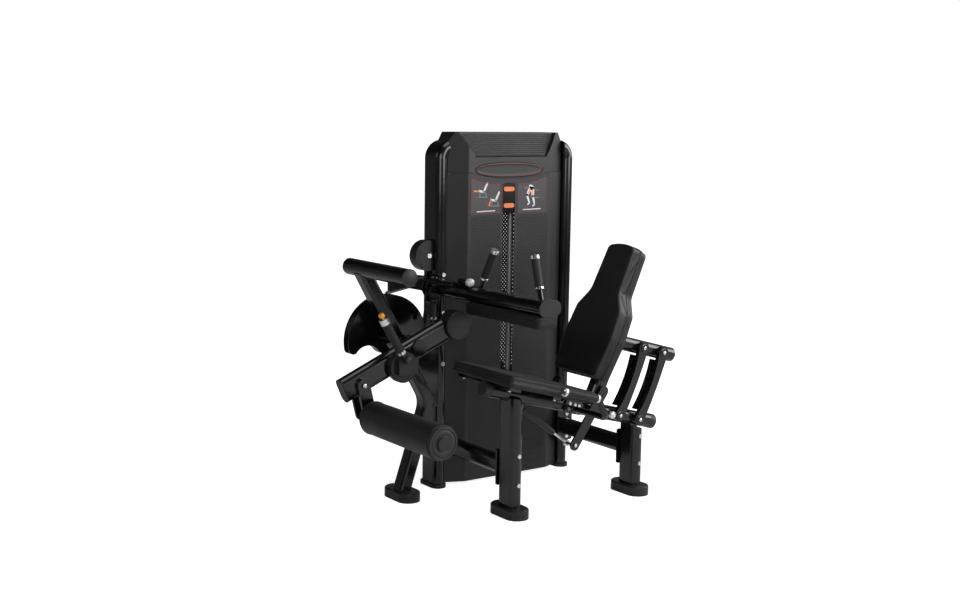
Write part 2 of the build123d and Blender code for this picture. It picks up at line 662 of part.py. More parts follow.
with BuildPart() as knee_frame:
    with BuildLine(XZ(POST_Y)) as post_path:
        FilletPolyline((-239.7, 18), (-112, 399), (-425.9, 957), radius=110)
    w = post_path.wire()
    with BuildSketch(Plane(origin=w @ 0, x_dir=(0, 1, 0), z_dir=w % 0)):
        RectangleRounded(POST_W, POST_T, 12)
    sweep(path=w)
    # cross tube at the top
    with BuildSketch(XZ(CT_Y1)):
        with Locations((CT_X, CT_Z)):
            Circle(CT_R)
    extrude(amount=CT_Y1 - CT_Y0)
    add(post_core.part, mode=Mode.SUBTRACT)
    with BuildSketch(XZ(CT_Y1 - 10)):
        with Locations((CT_X, CT_Z)):
            Circle(CT_R - WALL)
    extrude(amount=CT_Y1 - CT_Y0 - 20, mode=Mode.SUBTRACT)
    # seam where the end sleeve meets the tube
    with BuildSketch(XZ(277)):
        with Locations((CT_X, CT_Z)):
            Circle(CT_R + 1)
            Circle(CT_R - 0.8, mode=Mode.SUBTRACT)
    extrude(amount=1.6, mode=Mode.SUBTRACT)
    # bearing sleeve for the main shaft
    with BuildSketch(XZ(POST_Y + 33)):
        with Locations((PX, PZ)):
            Circle(36)
    extrude(amount=66)
    # square foot cut
    with BuildSketch(XY(-20)):
        with Locations((-230, POST_Y)):
            Rectangle(300, 200)
    extrude(amount=20 + FOOT_H, mode=Mode.SUBTRACT)
    # lower tie bracket: plate on the post and flange on the upright
    with BuildSketch(XZ(465)):
        Polygon((-43, 360), (-43, 600), (-150, 600), (-190, 570), (-125, 450), (-110, 360), align=None)
    extrude(amount=8)
    with BuildSketch(YZ(-51)):
        with Locations((511, 480)):
            RectangleRounded(92, 240, 6)
    extrude(amount=8)
    with BuildSketch(XZ(POST_Y + 60)):
        with Locations((PX, PZ)):
            Circle(SHAFT_R + RUN)
    extrude(amount=120, mode=Mode.SUBTRACT)
    add(frame_bolts.part, mode=Mode.SUBTRACT)
    split(bisect_by=Plane(origin=pt(-43, 0, 0), x_dir=(0, 1, 0), z_dir=(1, 0, 0)), keep=Keep.BOTTOM)
knee_frame.part.label = "knee_frame"
export_step(knee_frame.part, "parts/knee_frame.step")

# stop bracket over the cam, bolted to the side of the upright
with BuildPart() as stop_bracket:
    with BuildSketch(XZ(484)):
        Polygon((-43, 790), (-43, 905), (-275, 905), (-275, 849), (-193, 868), (-110, 850), (-80, 790), align=None)
    extrude(amount=8)
    with BuildSketch(YZ(-51)):
        with Locations((481, 848)):
            Rectangle(26, 114)
    extrude(amount=8)
    with BuildSketch(Plane(origin=pt(-268, 480, 852), x_dir=(0, 1, 0), z_dir=(0.985, 0, 0.173))):
        Circle(5)
    extrude(amount=125)
    with BuildSketch(Plane(origin=pt(-282, 480, 849.5), x_dir=(0, 1, 0), z_dir=(0.985, 0, 0.173))):
        Circle(9)
    extrude(amount=14)
    add(frame_bolts.part, mode=Mode.SUBTRACT)
    # clear of the hinge block of the thigh beam
    with BuildSketch(XZ(600)):
        with Locations((HX, HZ)):
            Circle(19)
    extrude(amount=200, mode=Mode.SUBTRACT)
stop_bracket.part.label = "stop_bracket"
export_step(stop_bracket.part, "parts/stop_bracket.step")

# ---------------------------------------------------------------- cam and shaft
with BuildPart() as cam:
    with BuildSketch(XZ(CAM_Y1)) as cam_side:
        with BuildLine():
            l1 = Line(pol(PX, PZ, 62, -28), pol(PX, PZ, CAM_R - 6, -27))
            a1 = RadiusArc(pol(PX, PZ, CAM_R - 6, -27), pol(PX, PZ, CAM_R, -25), -6)
            a2 = ThreePointArc(pol(PX, PZ, CAM_R, -25), pol(PX, PZ, CAM_R, 83), pol(PX, PZ, CAM_R, 190))
            a3 = ThreePointArc(pol(PX, PZ, CAM_R, 190), pol(PX, PZ, CAM_R - 9, 195.5), pol(PX, PZ, CAM_R - 30, 197))
            a4 = ThreePointArc(pol(PX, PZ, CAM_R - 30, 197), pol(PX, PZ, 112, 190), pol(PX, PZ, 62, 215))
            a5 = ThreePointArc(pol(PX, PZ, 62, 215), pol(PX, PZ, 62, 270), pol(PX, PZ, 62, -28))
        make_face()
    extrude(amount=CAM_Y1 - CAM_Y0)
    # belt groove in the rim
    with BuildSketch(XZ(TY + 15.5)):
        with Locations((PX, PZ)):
            Circle(CAM_R + 20)
            Circle(CAM_FLOOR, mode=Mode.SUBTRACT)
    extrude(amount=31, mode=Mode.SUBTRACT)
    # belt clamp in the groove
    with BuildSketch(XZ(TY + 15.5)):
        with BuildLine():
            c0, c1 = TAN_A - 14, TAN_A - 7.2
            ThreePointArc(pol(PX, PZ, CAM_FLOOR, c0), pol(PX, PZ, CAM_FLOOR, (c0 + c1) / 2), pol(PX, PZ, CAM_FLOOR, c1))
            Line(pol(PX, PZ, CAM_FLOOR, c1), pol(PX, PZ, CAM_FLOOR + 7, c1))
            ThreePointArc(pol(PX, PZ, CAM_FLOOR + 7, c1), pol(PX, PZ, CAM_FLOOR + 7, (c0 + c1) / 2), pol(PX, PZ, CAM_FLOOR + 7, c0))
            Line(pol(PX, PZ, CAM_FLOOR + 7, c0), pol(PX, PZ, CAM_FLOOR, c0))
        make_face()
    extrude(amount=31)
    # lightening windows between web ribs, and the shaft bore
    with BuildSketch(XZ(CAM_Y1 + 1)):
        for wa in (20, 75, 130):
            with BuildLine():
                ThreePointArc(pol(PX, PZ, 80, wa), pol(PX, PZ, 80, wa + 20), pol(PX, PZ, 80, wa + 40))
                Line(pol(PX, PZ, 80, wa + 40), pol(PX, PZ, 145, wa + 40))
                ThreePointArc(pol(PX, PZ, 145, wa + 40), pol(PX, PZ, 145, wa + 20), pol(PX, PZ, 145, wa))
                Line(pol(PX, PZ, 145, wa), pol(PX, PZ, 80, wa))
            make_face()
    extrude(amount=15, mode=Mode.SUBTRACT)
    with BuildSketch(XZ(CAM_Y1 + 1)):
        with Locations((PX, PZ)):
            Circle(SHAFT_R)
    extrude(amount=60, mode=Mode.SUBTRACT)
cam.part.label = "cam"
export_step(cam.part, "parts/cam.step")

with BuildPart() as drive_shaft:
    with BuildSketch(XZ(566)):
        with Locations((PX, PZ)):
            Circle(SHAFT_R)
    extrude(amount=566 - 268)
    # near cap and far collar
    with BuildSketch(XZ(270)):
        with Locations((PX, PZ)):
            Circle(32.5)
    extrude(amount=7)
    with BuildSketch(XZ(566)):
        with Locations((PX, PZ)):
            Circle(34)
    extrude(amount=15)
    # index plate behind the lever bar: hub and a sector with an arc slot
    with BuildSketch(XZ(360)):
        with Locations((PX, PZ)):
            Circle(40)
    extrude(amount=34)
    with BuildSketch(XZ(336)):
        with BuildLine():
            ThreePointArc(pol(PX, PZ, 130, 200), pol(PX, PZ, 130, 233), pol(PX, PZ, 130, 266))
            Line(pol(PX, PZ, 130, 266), pol(PX, PZ, 38, 290))
            ThreePointArc(pol(PX, PZ, 38, 290), pol(PX, PZ, 38, 53), pol(PX, PZ, 38, 176))
            Line(pol(PX, PZ, 38, 176), pol(PX, PZ, 130, 200))
        make_face()
    extrude(amount=10)
    LR = hypot(LOCK_X - PX, LOCK_Z - PZ)
    LA = degrees(atan2(LOCK_Z - PZ, LOCK_X - PX)) % 360
    with BuildSketch(XZ(340)):
        with BuildLine():
            ThreePointArc(pol(PX, PZ, LR + 6.4, LA - 4), pol(PX, PZ, LR + 6.4, LA + 15), pol(PX, PZ, LR + 6.4, LA + 34))
            Line(pol(PX, PZ, LR + 6.4, LA + 34), pol(PX, PZ, LR - 6.4, LA + 34))
            ThreePointArc(pol(PX, PZ, LR - 6.4, LA + 34), pol(PX, PZ, LR - 6.4, LA + 15), pol(PX, PZ, LR - 6.4, LA - 4))
            Line(pol(PX, PZ, LR - 6.4, LA - 4), pol(PX, PZ, LR + 6.4, LA - 4))
        make_face()
    extrude(amount=20, mode=Mode.SUBTRACT)
drive_shaft.part.label = "drive_shaft"
export_step(drive_shaft.part, "parts/drive_shaft.step")

# ---------------------------------------------------------------- lever bar
ARM_YC = (ARM_Y0 + ARM_Y1) / 2
with BuildPart() as lever_bar:
    with BuildSketch(AX(ARM_U0)):
        with Locations((ARM_YC, 0)):
            SlotOverall(ARM_H, ARM_Y1 - ARM_Y0, rotation=90)
            SlotOverall(ARM_H - 2 * WALL, ARM_Y1 - ARM_Y0 - 2 * WALL, rotation=90, mode=Mode.SUBTRACT)
    extrude(amount=ARM_U1 - 54 - ARM_U0)
    # welded end cap with softened edge
    with BuildSketch(AX(ARM_U0)):
        with Locations((ARM_YC, 0)):
            SlotOverall(ARM_H, ARM_Y1 - ARM_Y0, rotation=90)
    extrude(amount=-10)
    fillet(lever_bar.faces().sort_by(Axis.X)[0].edges(), 3)
    # web across the bar where the counterweight is held
    with BuildSketch(AX(ARM_U1 - 60)):
        with Locations((ARM_YC, 0)):
            SlotOverall(ARM_H, ARM_Y1 - ARM_Y0, rotation=90)
    extrude(amount=6)
    # pivot sleeve and lock pin sleeve
    with BuildSketch(XZ(ARM_Y1)):
        with Locations((PX, PZ)):
            Circle(34)
        with Locations((LOCK_X, LOCK_Z)):
            Circle(12)
    extrude(amount=ARM_Y1 - ARM_Y0)
    with BuildSketch(XZ(ARM_Y1 + 3)):
        with Locations((PX, PZ)):
            Circle(34)
    extrude(amount=3)
    with BuildSketch(XZ(ARM_Y1 + 10)):
        with Locations((PX, PZ)):
            Circle(SHAFT_R + RUN)
        with Locations((LOCK_X, LOCK_Z)):
            Circle(6 + RUN)
    extrude(amount=80, mode=Mode.SUBTRACT)
    # rounded end towards the counterweight is cut to its rim
    with BuildSketch(AR(ARM_Y1 + 1)):
        with Locations((ARM_U1, 0)):
            Circle(CW_R)
    extrude(amount=60, mode=Mode.SUBTRACT)
lever_bar.part.label = "lever_bar"
export_step(lever_bar.part, "parts/lever_bar.step")

with BuildPart() as counterweight:
    with BuildSketch(AR(ARM_Y1)):
        with Locations((ARM_U1, 0)):
            Circle(CW_R)
    extrude(amount=ARM_Y1 - CW_Y0)
    chamfer(counterweight.edges().filter_by(GeomType.CIRCLE), 2)
counterweight.part.label = "counterweight"
export_step(counterweight.part, "parts/counterweight.step")

# lock housing on the bar: round cover with a pin block and handle boss
with BuildPart() as lock_housing:
    with BuildSketch(XZ(ARM_Y0)):
        with Locations((LOCK_X, LOCK_Z)):
            Circle(62)
    extrude(amount=28)
    chamfer(lock_housing.faces().sort_by(Axis.Y)[0].edges(), 3)
    with BuildSketch(XZ(244)):
        with Locations((-335, 594)):
            RectangleRounded(88, 64, 8)
    extrude(amount=22)
    with BuildSketch(XZ(222)):
        with Locations((-351, 626)):
            Circle(17)
    extrude(amount=5)
    # cut flat against the shaft cap so the lever's hub stays free
    with BuildSketch(XZ(300)):
        with Locations((PX, PZ)):
            Circle(36)
    extrude(amount=100, mode=Mode.SUBTRACT)
    with BuildSketch(XZ(300)):
        with Locations((LOCK_X, LOCK_Z)):
            Circle(6 + RUN)
    extrude(amount=70, mode=Mode.SUBTRACT)
lock_housing.part.label = "lock_housing"
export_step(lock_housing.part, "parts/lock_housing.step")

with BuildPart() as lock_pin:
    with BuildSketch(XZ(334)):
        with Locations((LOCK_X, LOCK_Z)):
            Circle(6)
    extrude(amount=334 - 244)
    chamfer(lock_pin.edges().filter_by(GeomType.CIRCLE), 1)
lock_pin.part.label = "lock_pin"
export_step(lock_pin.part, "parts/lock_pin.step")

# start handle: steel core with ferrules, rubber grip, push button at the top
HA = degrees(atan2(801 - 622, -449 + 344))    # lean of the handle
HC, HS = cos(radians(HA)), sin(radians(HA))
HB = (-368.9, 204.0, 634.8)    # foot of the handle
HD = (-351.0, 626.0)           # round foot that bolts the handle down


def HP(t):
    # section plane of the start handle at distance t from its foot
    return Plane(origin=pt(HB[0] + t * HC, HB[1], HB[2] + t * HS), x_dir=(0, 1, 0), z_dir=(HC, 0, HS))


with BuildPart() as start_handle:
    with BuildSketch(HP(0)):
        Circle(9)
    extrude(amount=184)
    with BuildSketch(HP(22)):
        Circle(18.5)
    extrude(amount=12)
    with BuildSketch(HP(164)):
        Circle(18.5)
    extrude(amount=24)
    with BuildSketch(XZ(217)):
        with Locations(HD):
            Circle(16)
    extrude(amount=28)
    with BuildSketch(HP(196)):
        Circle(5 + RUN)
    extrude(amount=-34, mode=Mode.SUBTRACT)
start_handle.part.label = "start_handle"
export_step(start_handle.part, "parts/start_handle.step")

with BuildPart() as start_grip:
    with BuildSketch(HP(34)):
        Circle(17.5)
        Circle(9, mode=Mode.SUBTRACT)
    extrude(amount=130)
start_grip.part.label = "start_grip"
export_step(start_grip.part, "parts/start_grip.step")

with BuildPart() as start_button:
    with BuildSketch(HP(172)):
        Circle(5)
    extrude(amount=26)
    with BuildSketch(HP(197)):
        Circle(11.5)
    extrude(amount=14)
    fillet(start_button.edges().filter_by(GeomType.CIRCLE).sort_by(Axis.Z)[-1], 5)
start_button.part.label = "start_button"
export_step(start_button.part, "parts/start_button.step")

# roller arm: a plate on each face of the bar, with the roller's spindle between them
ROLL_BOLT = (-515.0, 532.0)
RB_L = hypot(ROLL_BOLT[0] - ROLL_X, ROLL_BOLT[1] - ROLL_Z)
RB_A = degrees(atan2(ROLL_BOLT[1] - ROLL_Z, ROLL_BOLT[0] - ROLL_X))
RB_M = ((ROLL_BOLT[0] + ROLL_X) / 2, (ROLL_BOLT[1] + ROLL_Z) / 2)
with BuildPart() as roller_arm:
    with BuildSketch(XZ(ARM_Y0)):
        with Locations(RB_M):
            SlotCenterToCenter(RB_L, 54, rotation=RB_A)
    extrude(amount=14)
    with BuildSketch(XZ(ARM_Y1 + 12)):
        with Locations(RB_M):
            SlotCenterToCenter(RB_L, 56, rotation=RB_A)
    extrude(amount=12)
    with BuildSketch(XZ(ARM_Y1 + 12)):
        with Locations((ROLL_X, ROLL_Z)):
            Circle(SPINDLE_R)
    extrude(amount=ARM_Y1 + 12 + ROLL_L / 2 + 6)
    with BuildSketch(XZ(258)):
        with Locations((ROLL_X, ROLL_Z)):
            Circle(20)
    extrude(amount=6)
    # bolts that clamp the plates to the bar and to the spindle
    with BuildSketch(XZ(258)):
        with Locations(ROLL_BOLT, (-487, 447)):
            Circle(8.5)
    extrude(amount=6)
    # retaining washer at the near end
    with BuildSketch(XZ(-ROLL_L / 2 - 1)):
        with Locations((ROLL_X, ROLL_Z)):
            Circle(27)
    extrude(amount=5)
roller_arm.part.label = "roller_arm"
export_step(roller_arm.part, "parts/roller_arm.step")

with BuildPart() as roller_pad:
    with BuildSketch(XZ(ROLL_L / 2 - 6)):
        with Locations((ROLL_X, ROLL_Z)):
            Circle(ROLL_R)
            Circle(20, mode=Mode.SUBTRACT)
    extrude(amount=ROLL_L - 12)
    fillet(roller_pad.edges().filter_by(GeomType.CIRCLE).sort_by(SortBy.RADIUS)[-2:], 6)
roller_pad.part.label = "roller_pad"
export_step(roller_pad.part, "parts/roller_pad.step")

with BuildPart() as roller_core:
    with BuildSketch(XZ(ROLL_L / 2)):
        with Locations((ROLL_X, ROLL_Z)):
            Circle(20)
            Circle(SPINDLE_R + RUN, mode=Mode.SUBTRACT)
    extrude(amount=ROLL_L)
    for y0, y1 in ((-ROLL_L / 2, -ROLL_L / 2 + 6), (ROLL_L / 2 - 6, ROLL_L / 2)):
        with BuildSketch(XZ(y1)):
            with Locations((ROLL_X, ROLL_Z)):
                Circle(46)
                Circle(SPINDLE_R + RUN, mode=Mode.SUBTRACT)
        extrude(amount=y1 - y0)
roller_core.part.label = "roller_core"
export_step(roller_core.part, "parts/roller_core.step")

# ===========================================================================
# Thigh beam
# ===========================================================================
with BuildPart() as beam_hinge:
    # fixed hinge pin in a block on the side of the left upright
    with BuildSketch(XZ(556)):
        with Locations((HX, HZ)):
            Circle(HINGE_R)
    extrude(amount=556 - 292)
    with BuildSketch(XZ(556)):
        with Locations((HX, HZ)):
            Circle(18)
        with Locations((HX + 18.5, HZ)):
            Rectangle(37, 30)
    extrude(amount=556 - 495)
    with BuildSketch(XZ(495)):
        with Locations((HX, HZ)):
            Circle(18)
    extrude(amount=495 - 456)
    # shelf of the lock handle, hung from the collar
    with BuildSketch(XZ(466)):
        Polygon((-104, 810), (-62, 810), (-62, 880), (-66, 892), (-96, 892), (-104, 860), align=None)
    extrude(amount=8)
    with BuildSketch(XY(810)):
        with Locations((-83, 445)):
            RectangleRounded(42, 42, 6)
    extrude(amount=8)
    with BuildSketch(XY(800)):
        with Locations((-84, 440)):
            Circle(7 + RUN)
    extrude(amount=30, mode=Mode.SUBTRACT)
beam_hinge.part.label = "beam_hinge"
export_step(beam_hinge.part, "parts/beam_hinge.step")

with BuildPart() as thigh_beam:
    with BuildSketch(XZ(TB_Y1)):
        with Locations((TB_X, TB_Z)):
            SlotOverall(TB_W, TB_H)
    extrude(amount=TB_Y1 - TB_Y0)
    fillet(thigh_beam.faces().sort_by(Axis.Y)[0].edges(), 4)
    with BuildSketch(XZ(TB_Y1 - 6)):
        with Locations((TB_X, TB_Z)):
            SlotOverall(TB_W - 8, TB_H - 8)
    extrude(amount=TB_Y1 - TB_Y0 - 21, mode=Mode.SUBTRACT)
    # hinge sleeve welded along the beam
    with BuildSketch(XZ(453.5)):
        with Locations((HX, HZ)):
            Circle(18)
        Polygon((HX, HZ - 17), (HX, HZ + 10), (TB_X - 20, TB_Z + 30.5), (TB_X - 44, TB_Z + 12), align=None)
    extrude(amount=453.5 - 290)
    with BuildSketch(XZ(453.5)):
        with Locations((HX, HZ)):
            Circle(HINGE_R + RUN)
    extrude(amount=453.5 - 291.5, mode=Mode.SUBTRACT)
    # latch strip on top of the beam and plunger barrel
    with BuildSketch(XZ(375)):
        with Locations((TB_X - 8, TB_Z + 31.5)):
            Rectangle(30, 5)
    extrude(amount=168)
    with BuildSketch(XZ(300)):
        with Locations((-44, 907)):
            Circle(11)
        with Locations((-40, 895)):
            Rectangle(18, 18)
    extrude(amount=50)
    with BuildSketch(XZ(310)):
        with Locations((-44, 907)):
            Circle(5 + RUN)
    extrude(amount=70, mode=Mode.SUBTRACT)
    # notched quadrant under the sleeve for the lock handle
    with BuildSketch(XZ(446)):
        with BuildLine():
            ThreePointArc(pol(HX, HZ, 59, 240), pol(HX, HZ, 59, 265), pol(HX, HZ, 59, 290))
            Line(pol(HX, HZ, 59, 290), pol(HX, HZ, 14, 290))
            Line(pol(HX, HZ, 14, 290), pol(HX, HZ, 14, 240))
            Line(pol(HX, HZ, 14, 240), pol(HX, HZ, 59, 240))
        make_face()
    extrude(amount=12)
thigh_beam.part.label = "thigh_beam"
export_step(thigh_beam.part, "parts/thigh_beam.step")

with BuildPart() as thigh_pad:
    with BuildSketch(XY(780)):
        with Locations((-14, 0)):
            RectangleRounded(100, 486, 14)
    extrude(amount=48)
    fillet(thigh_pad.faces().sort_by(Axis.Z)[0].edges(), 9)
thigh_pad.part.label = "thigh_pad"
export_step(thigh_pad.part, "parts/thigh_pad.step")


def GP(side, t):
    # section plane of a beam grip at distance t from its foot
    v = Vector(0.127, -side * 0.447, 1).normalized()
    o = Vector(-17 - OX, side * 199 - OY, 884) + v * t
    return Plane(origin=o, x_dir=(1, 0, 0), z_dir=v)


with BuildPart() as beam_handles:
    for side in (-1, 1):
        with BuildSketch(GP(side, 0)):
            Circle(10)
        extrude(amount=178)
        with BuildSketch(GP(side, 44)):
            Circle(17)
        extrude(amount=8)
        with BuildSketch(GP(side, 164)):
            Circle(17)
        extrude(amount=14)
    # feet trimmed to the beam's flat top
    with BuildSketch(XY(820)):
        with Locations((TB_X, 0)):
            Rectangle(140, 500)
    extrude(amount=TB_Z + TB_H / 2 - 820, mode=Mode.SUBTRACT)
beam_handles.part.label = "beam_handles"
export_step(beam_handles.part, "parts/beam_handles.step")

with BuildPart() as beam_grips:
    for side in (-1, 1):
        with BuildSketch(GP(side, 52)):
            Circle(16)
            Circle(10, mode=Mode.SUBTRACT)
        extrude(amount=112)
beam_grips.part.label = "beam_grips"
export_step(beam_grips.part, "parts/beam_grips.step")

with BuildPart() as beam_knob:
    with BuildSketch(XZ(298)):
        with Locations((-44, 907)):
            Circle(5)
    extrude(amount=298 - 236)
    with BuildSketch(XZ(249)):
        with Locations((-44, 907)):
            Circle(9)
    extrude(amount=14)
    with BuildSketch(XZ(240)):
        with Locations((-44, 907)):
            Circle(16)
    extrude(amount=22)
    fillet(beam_knob.edges().filter_by(GeomType.CIRCLE).sort_by(Axis.Y)[0], 6)
beam_knob.part.label = "beam_knob"
export_step(beam_knob.part, "parts/beam_knob.step")

with BuildPart() as lock_handle:
    with BuildSketch(XY(740)):
        with Locations((-84, 440)):
            Circle(7)
    extrude(amount=828 - 740)
    with BuildSketch(XY(743)):
        with Locations((-84, 440)):
            Circle(15)
    extrude(amount=57)
    with BuildSketch(XY(734)):
        with Locations((-84, 440)):
            Circle(16.5)
    extrude(amount=9)
    with BuildSketch(XY(716)):
        with Locations((-84, 440)):
            Circle(9)
    extrude(amount=18)
lock_handle.part.label = "lock_handle"
export_step(lock_handle.part, "parts/lock_handle.step")

# ===========================================================================
# Seat side
# ===========================================================================
PAD_S0, PAD_S1, PAD_HALF = -171.0, 270.0, 199.0
H_S, H_N, H_Y = 290.0, -8.0, 250.0

with BuildPart() as rail_plugs:
    with BuildSketch(SC(RAIL_S0)):
        Circle(RAIL_R + 0.5)
    extrude(amount=-RAIL_PLUG)
    with BuildSketch(SC(RAIL_S1)):
        Circle(RAIL_R + 0.5)
    extrude(amount=RAIL_PLUG)
    chamfer(rail_plugs.edges().filter_by(GeomType.CIRCLE).sort_by(Axis.X)[0], 3)
    chamfer(rail_plugs.edges().filter_by(GeomType.CIRCLE).sort_by(Axis.X)[-1], 3)
    with BuildSketch(SC(RAIL_S0)):
        Circle(RAIL_R - WALL)
    extrude(amount=14)
    with BuildSketch(SC(RAIL_S1)):
        Circle(RAIL_R - WALL)
    extrude(amount=-14)
rail_plugs.part.label = "rail_plugs"
export_step(rail_plugs.part, "parts/rail_plugs.step")

with BuildPart() as link_pins:
    # lower link pins through the rail, and the front pin of the gas spring
    for px, pz in (LOW1, LOW2):
        with BuildSketch(XZ(ARM_IN + 1)):
            with Locations((px, pz)):
                Circle(PIVOT_R)
        extrude(amount=ARM_IN + ARM_OUT + 5)
    with BuildSketch(XZ(16)):
        with Locations(GAS_PIN):
            Circle(5)
    extrude(amount=32)
link_pins.part.label = "link_pins"
export_step(link_pins.part, "parts/link_pins.step")

with BuildPart() as seat_rail:
    with BuildSketch(SC(RAIL_S0)):
        Circle(RAIL_R)
    extrude(amount=RAIL_S1 - RAIL_S0)
    # cross bars that carry the seat board
    for s, sw in ((-103, 26), (94, 40)):
        with BuildSketch(SL(165)):
            with Locations((s, 25)):
                Rectangle(sw, 12)
        extrude(amount=330)
    for y1 in (170, -130):
        with BuildSketch(SL(y1)):
            with Locations((-119, 25)):
                Rectangle(56, 12)
        extrude(amount=40)
    # bosses at the lower link pins
    with BuildSketch(XZ(ARM_IN - 0.1)):
        with Locations(LOW1, LOW2):
            Circle(19)
    extrude(amount=2 * ARM_IN - 0.2)
    # lugs for the gas spring
    for y0 in (8, -14):
        with BuildSketch(XZ(y0 + 6)):
            with BuildLine():
                Line((27, 470), (27, 424))
                Line((27, 424), (42, 418))
                Line((42, 418), (54, 432))
                Line((54, 432), (56, 470))
                Line((56, 470), (27, 470))
            make_face()
        extrude(amount=6)
    with BuildSketch(SC(RAIL_S0 - 1)):
        Circle(RAIL_R - WALL)
    extrude(amount=RAIL_S1 - RAIL_S0 + 2, mode=Mode.SUBTRACT)
    add(link_pins.part, mode=Mode.SUBTRACT)
    add(frame_bolts.part, mode=Mode.SUBTRACT)
seat_rail.part.label = "seat_rail"
export_step(seat_rail.part, "parts/seat_rail.step")

with BuildPart() as rail_solid:
    with BuildSketch(SC(RAIL_S0 - 40)):
        Circle(RAIL_R)
    extrude(amount=RAIL_S1 - RAIL_S0 + 80)

with BuildPart() as seat_legs:
    # front leg
    with BuildSketch(XY(FOOT_H)):
        with Locations((0, 0)):
            SlotOverall(LEG_Y, LEG_X, rotation=90)
    extrude(amount=440)
    # rear leg
    with BuildSketch(XY(FOOT_H)):
        with Locations((REAR_X, 0)):
            SlotOverall(LEG_Y, LEG_X, rotation=90)
    extrude(amount=300)
    # tops cut to the slope; the rear leg's shoulders stay clear of the link plates
    with BuildSketch(SL(80)):
        Polygon((-200, -14), (300, -14), (300, 120), (-200, 120), align=None)
        Polygon((400, -33), (900, -33), (900, 160), (400, 160), align=None)
    extrude(amount=160, mode=Mode.SUBTRACT)
    # saddle of the rear leg
    with BuildSketch(SL(25)):
        with Locations((S_LOW2 - 2, -28)):
            Rectangle(40, 18)
    extrude(amount=50)
    # hollow from below, closed under the rail
    with BuildSketch(XY(FOOT_H)):
        with Locations((0, 0), (REAR_X, 0)):
            SlotOverall(LEG_Y - 2 * WALL, LEG_X - 2 * WALL, rotation=90)
    extrude(amount=225, mode=Mode.SUBTRACT)
    add(rail_solid.part, mode=Mode.SUBTRACT)
    add(frame_bolts.part, mode=Mode.SUBTRACT)
    add(seat_rail.part, mode=Mode.SUBTRACT)
seat_legs.part.label = "seat_legs"
export_step(seat_legs.part, "parts/seat_legs.step")

with BuildPart() as feet:
    for fx, fy in ((0, 0), (REAR_X, 0), (-231, POST_Y)):
        with BuildSketch(XY(0)):
            with Locations((fx, fy)):
                SlotOverall(FOOT_Y, FOOT_X, rotation=90)
        extrude(amount=FOOT_H)
    for ux in (UL, UR):
        with BuildSketch(XY(0)):
            with Locations((ux, TY)):
                SlotOverall(144, 68, rotation=90)
        extrude(amount=TOWER_FOOT)
    chamfer(feet.faces().filter_by(Axis.Z).group_by(Axis.Z)[-1].edges(), 4)
feet.part.label = "feet"
export_step(feet.part, "parts/feet.step")

with BuildPart() as floor_beams:
    for bx, ux in ((0.0, UL), (REAR_X, UR)):
        with BuildSketch(XZ(456)):
            with Locations((bx, BEAM_Z)):
                SlotOverall(BEAM_H, BEAM_X, rotation=90)
                SlotOverall(BEAM_H - 2 * WALL, BEAM_X - 2 * WALL, rotation=90, mode=Mode.SUBTRACT)
        extrude(amount=456 - 62)
        with BuildSketch(XZ(62)):
            with Locations((bx, 187)):
                RectangleRounded(54, 148, 6)
        extrude(amount=8)
        with BuildSketch(XZ(468)):
            with Locations(((bx + ux) / 2 + (0 if bx == 0 else 4), 195)):
                RectangleRounded(80, 140, 6)
        extrude(amount=12)
    add(tower_frame.part, mode=Mode.SUBTRACT)
    add(frame_bolts.part, mode=Mode.SUBTRACT)
    with BuildSketch(XY(100)):
        with BuildLine():
            half_cover(COVER_FRONT, 490, 500, COVER_T)
        make_face()
    extrude(amount=200, mode=Mode.SUBTRACT)
floor_beams.part.label = "floor_beams"
export_step(floor_beams.part, "parts/floor_beams.step")

with BuildPart() as seat_board:
    with BuildSketch(ST(31)):
        with Locations(((PAD_S0 + PAD_S1) / 2, 0)):
            RectangleRounded(PAD_S1 - PAD_S0 - 24, 2 * PAD_HALF - 24, 20)
    extrude(amount=13)
    add(frame_bolts.part, mode=Mode.SUBTRACT)
seat_board.part.label = "seat_board"
export_step(seat_board.part, "parts/seat_board.step")

with BuildPart() as seat_pad:
    with BuildSketch(ST(34)):
        with Locations(((PAD_S0 + PAD_S1) / 2, 0)):
            RectangleRounded(PAD_S1 - PAD_S0, 2 * PAD_HALF, 20)
    extrude(amount=45)
    fillet(seat_pad.edges().group_by(Axis(origin=(0, 0, 0), direction=(SI, 0, CI)))[-1], 7)
    with BuildSketch(ST(20)):
        with Locations(((PAD_S0 + PAD_S1) / 2, 0)):
            RectangleRounded(PAD_S1 - PAD_S0 - 24, 2 * PAD_HALF - 24, 20)
    extrude(amount=24, mode=Mode.SUBTRACT)
    add(frame_bolts.part, mode=Mode.SUBTRACT)
seat_pad.part.label = "seat_pad"
export_step(seat_pad.part, "parts/seat_pad.step")

with BuildPart() as seat_handles:
    for sg in (-1, 1):
        with BuildLine() as hp:
            bends([spt(50, 60, sg * H_Y), spt(226, 60, sg * H_Y), spt(H_S, H_N, sg * H_Y), spt(H_S, H_N, sg * 38)], 26)
        w = hp.wire()
        with BuildSketch(Plane(origin=w @ 0, x_dir=(0, 1, 0), z_dir=w % 0)):
            Circle(12.5)
        sweep(path=w)
        with BuildSketch(SL(39 if sg > 0 else -27)):
            with Locations((295, -4)):
                RectangleRounded(86, 52, 8)
        extrude(amount=12)
    # round chrome collars at both ends of each grip
    for sg in (-1, 1):
        for s0, s1 in ((46, 57), (214, 223)):
            with BuildSketch(Plane(origin=spt(s0, 60, sg * H_Y), x_dir=(0, 1, 0), z_dir=(CI, 0, -SI))):
                Circle(17)
            extrude(amount=s1 - s0)
    add(rail_solid.part, mode=Mode.SUBTRACT)
    add(frame_bolts.part, mode=Mode.SUBTRACT)
seat_handles.part.label = "seat_handles"
export_step(seat_handles.part, "parts/seat_handles.step")

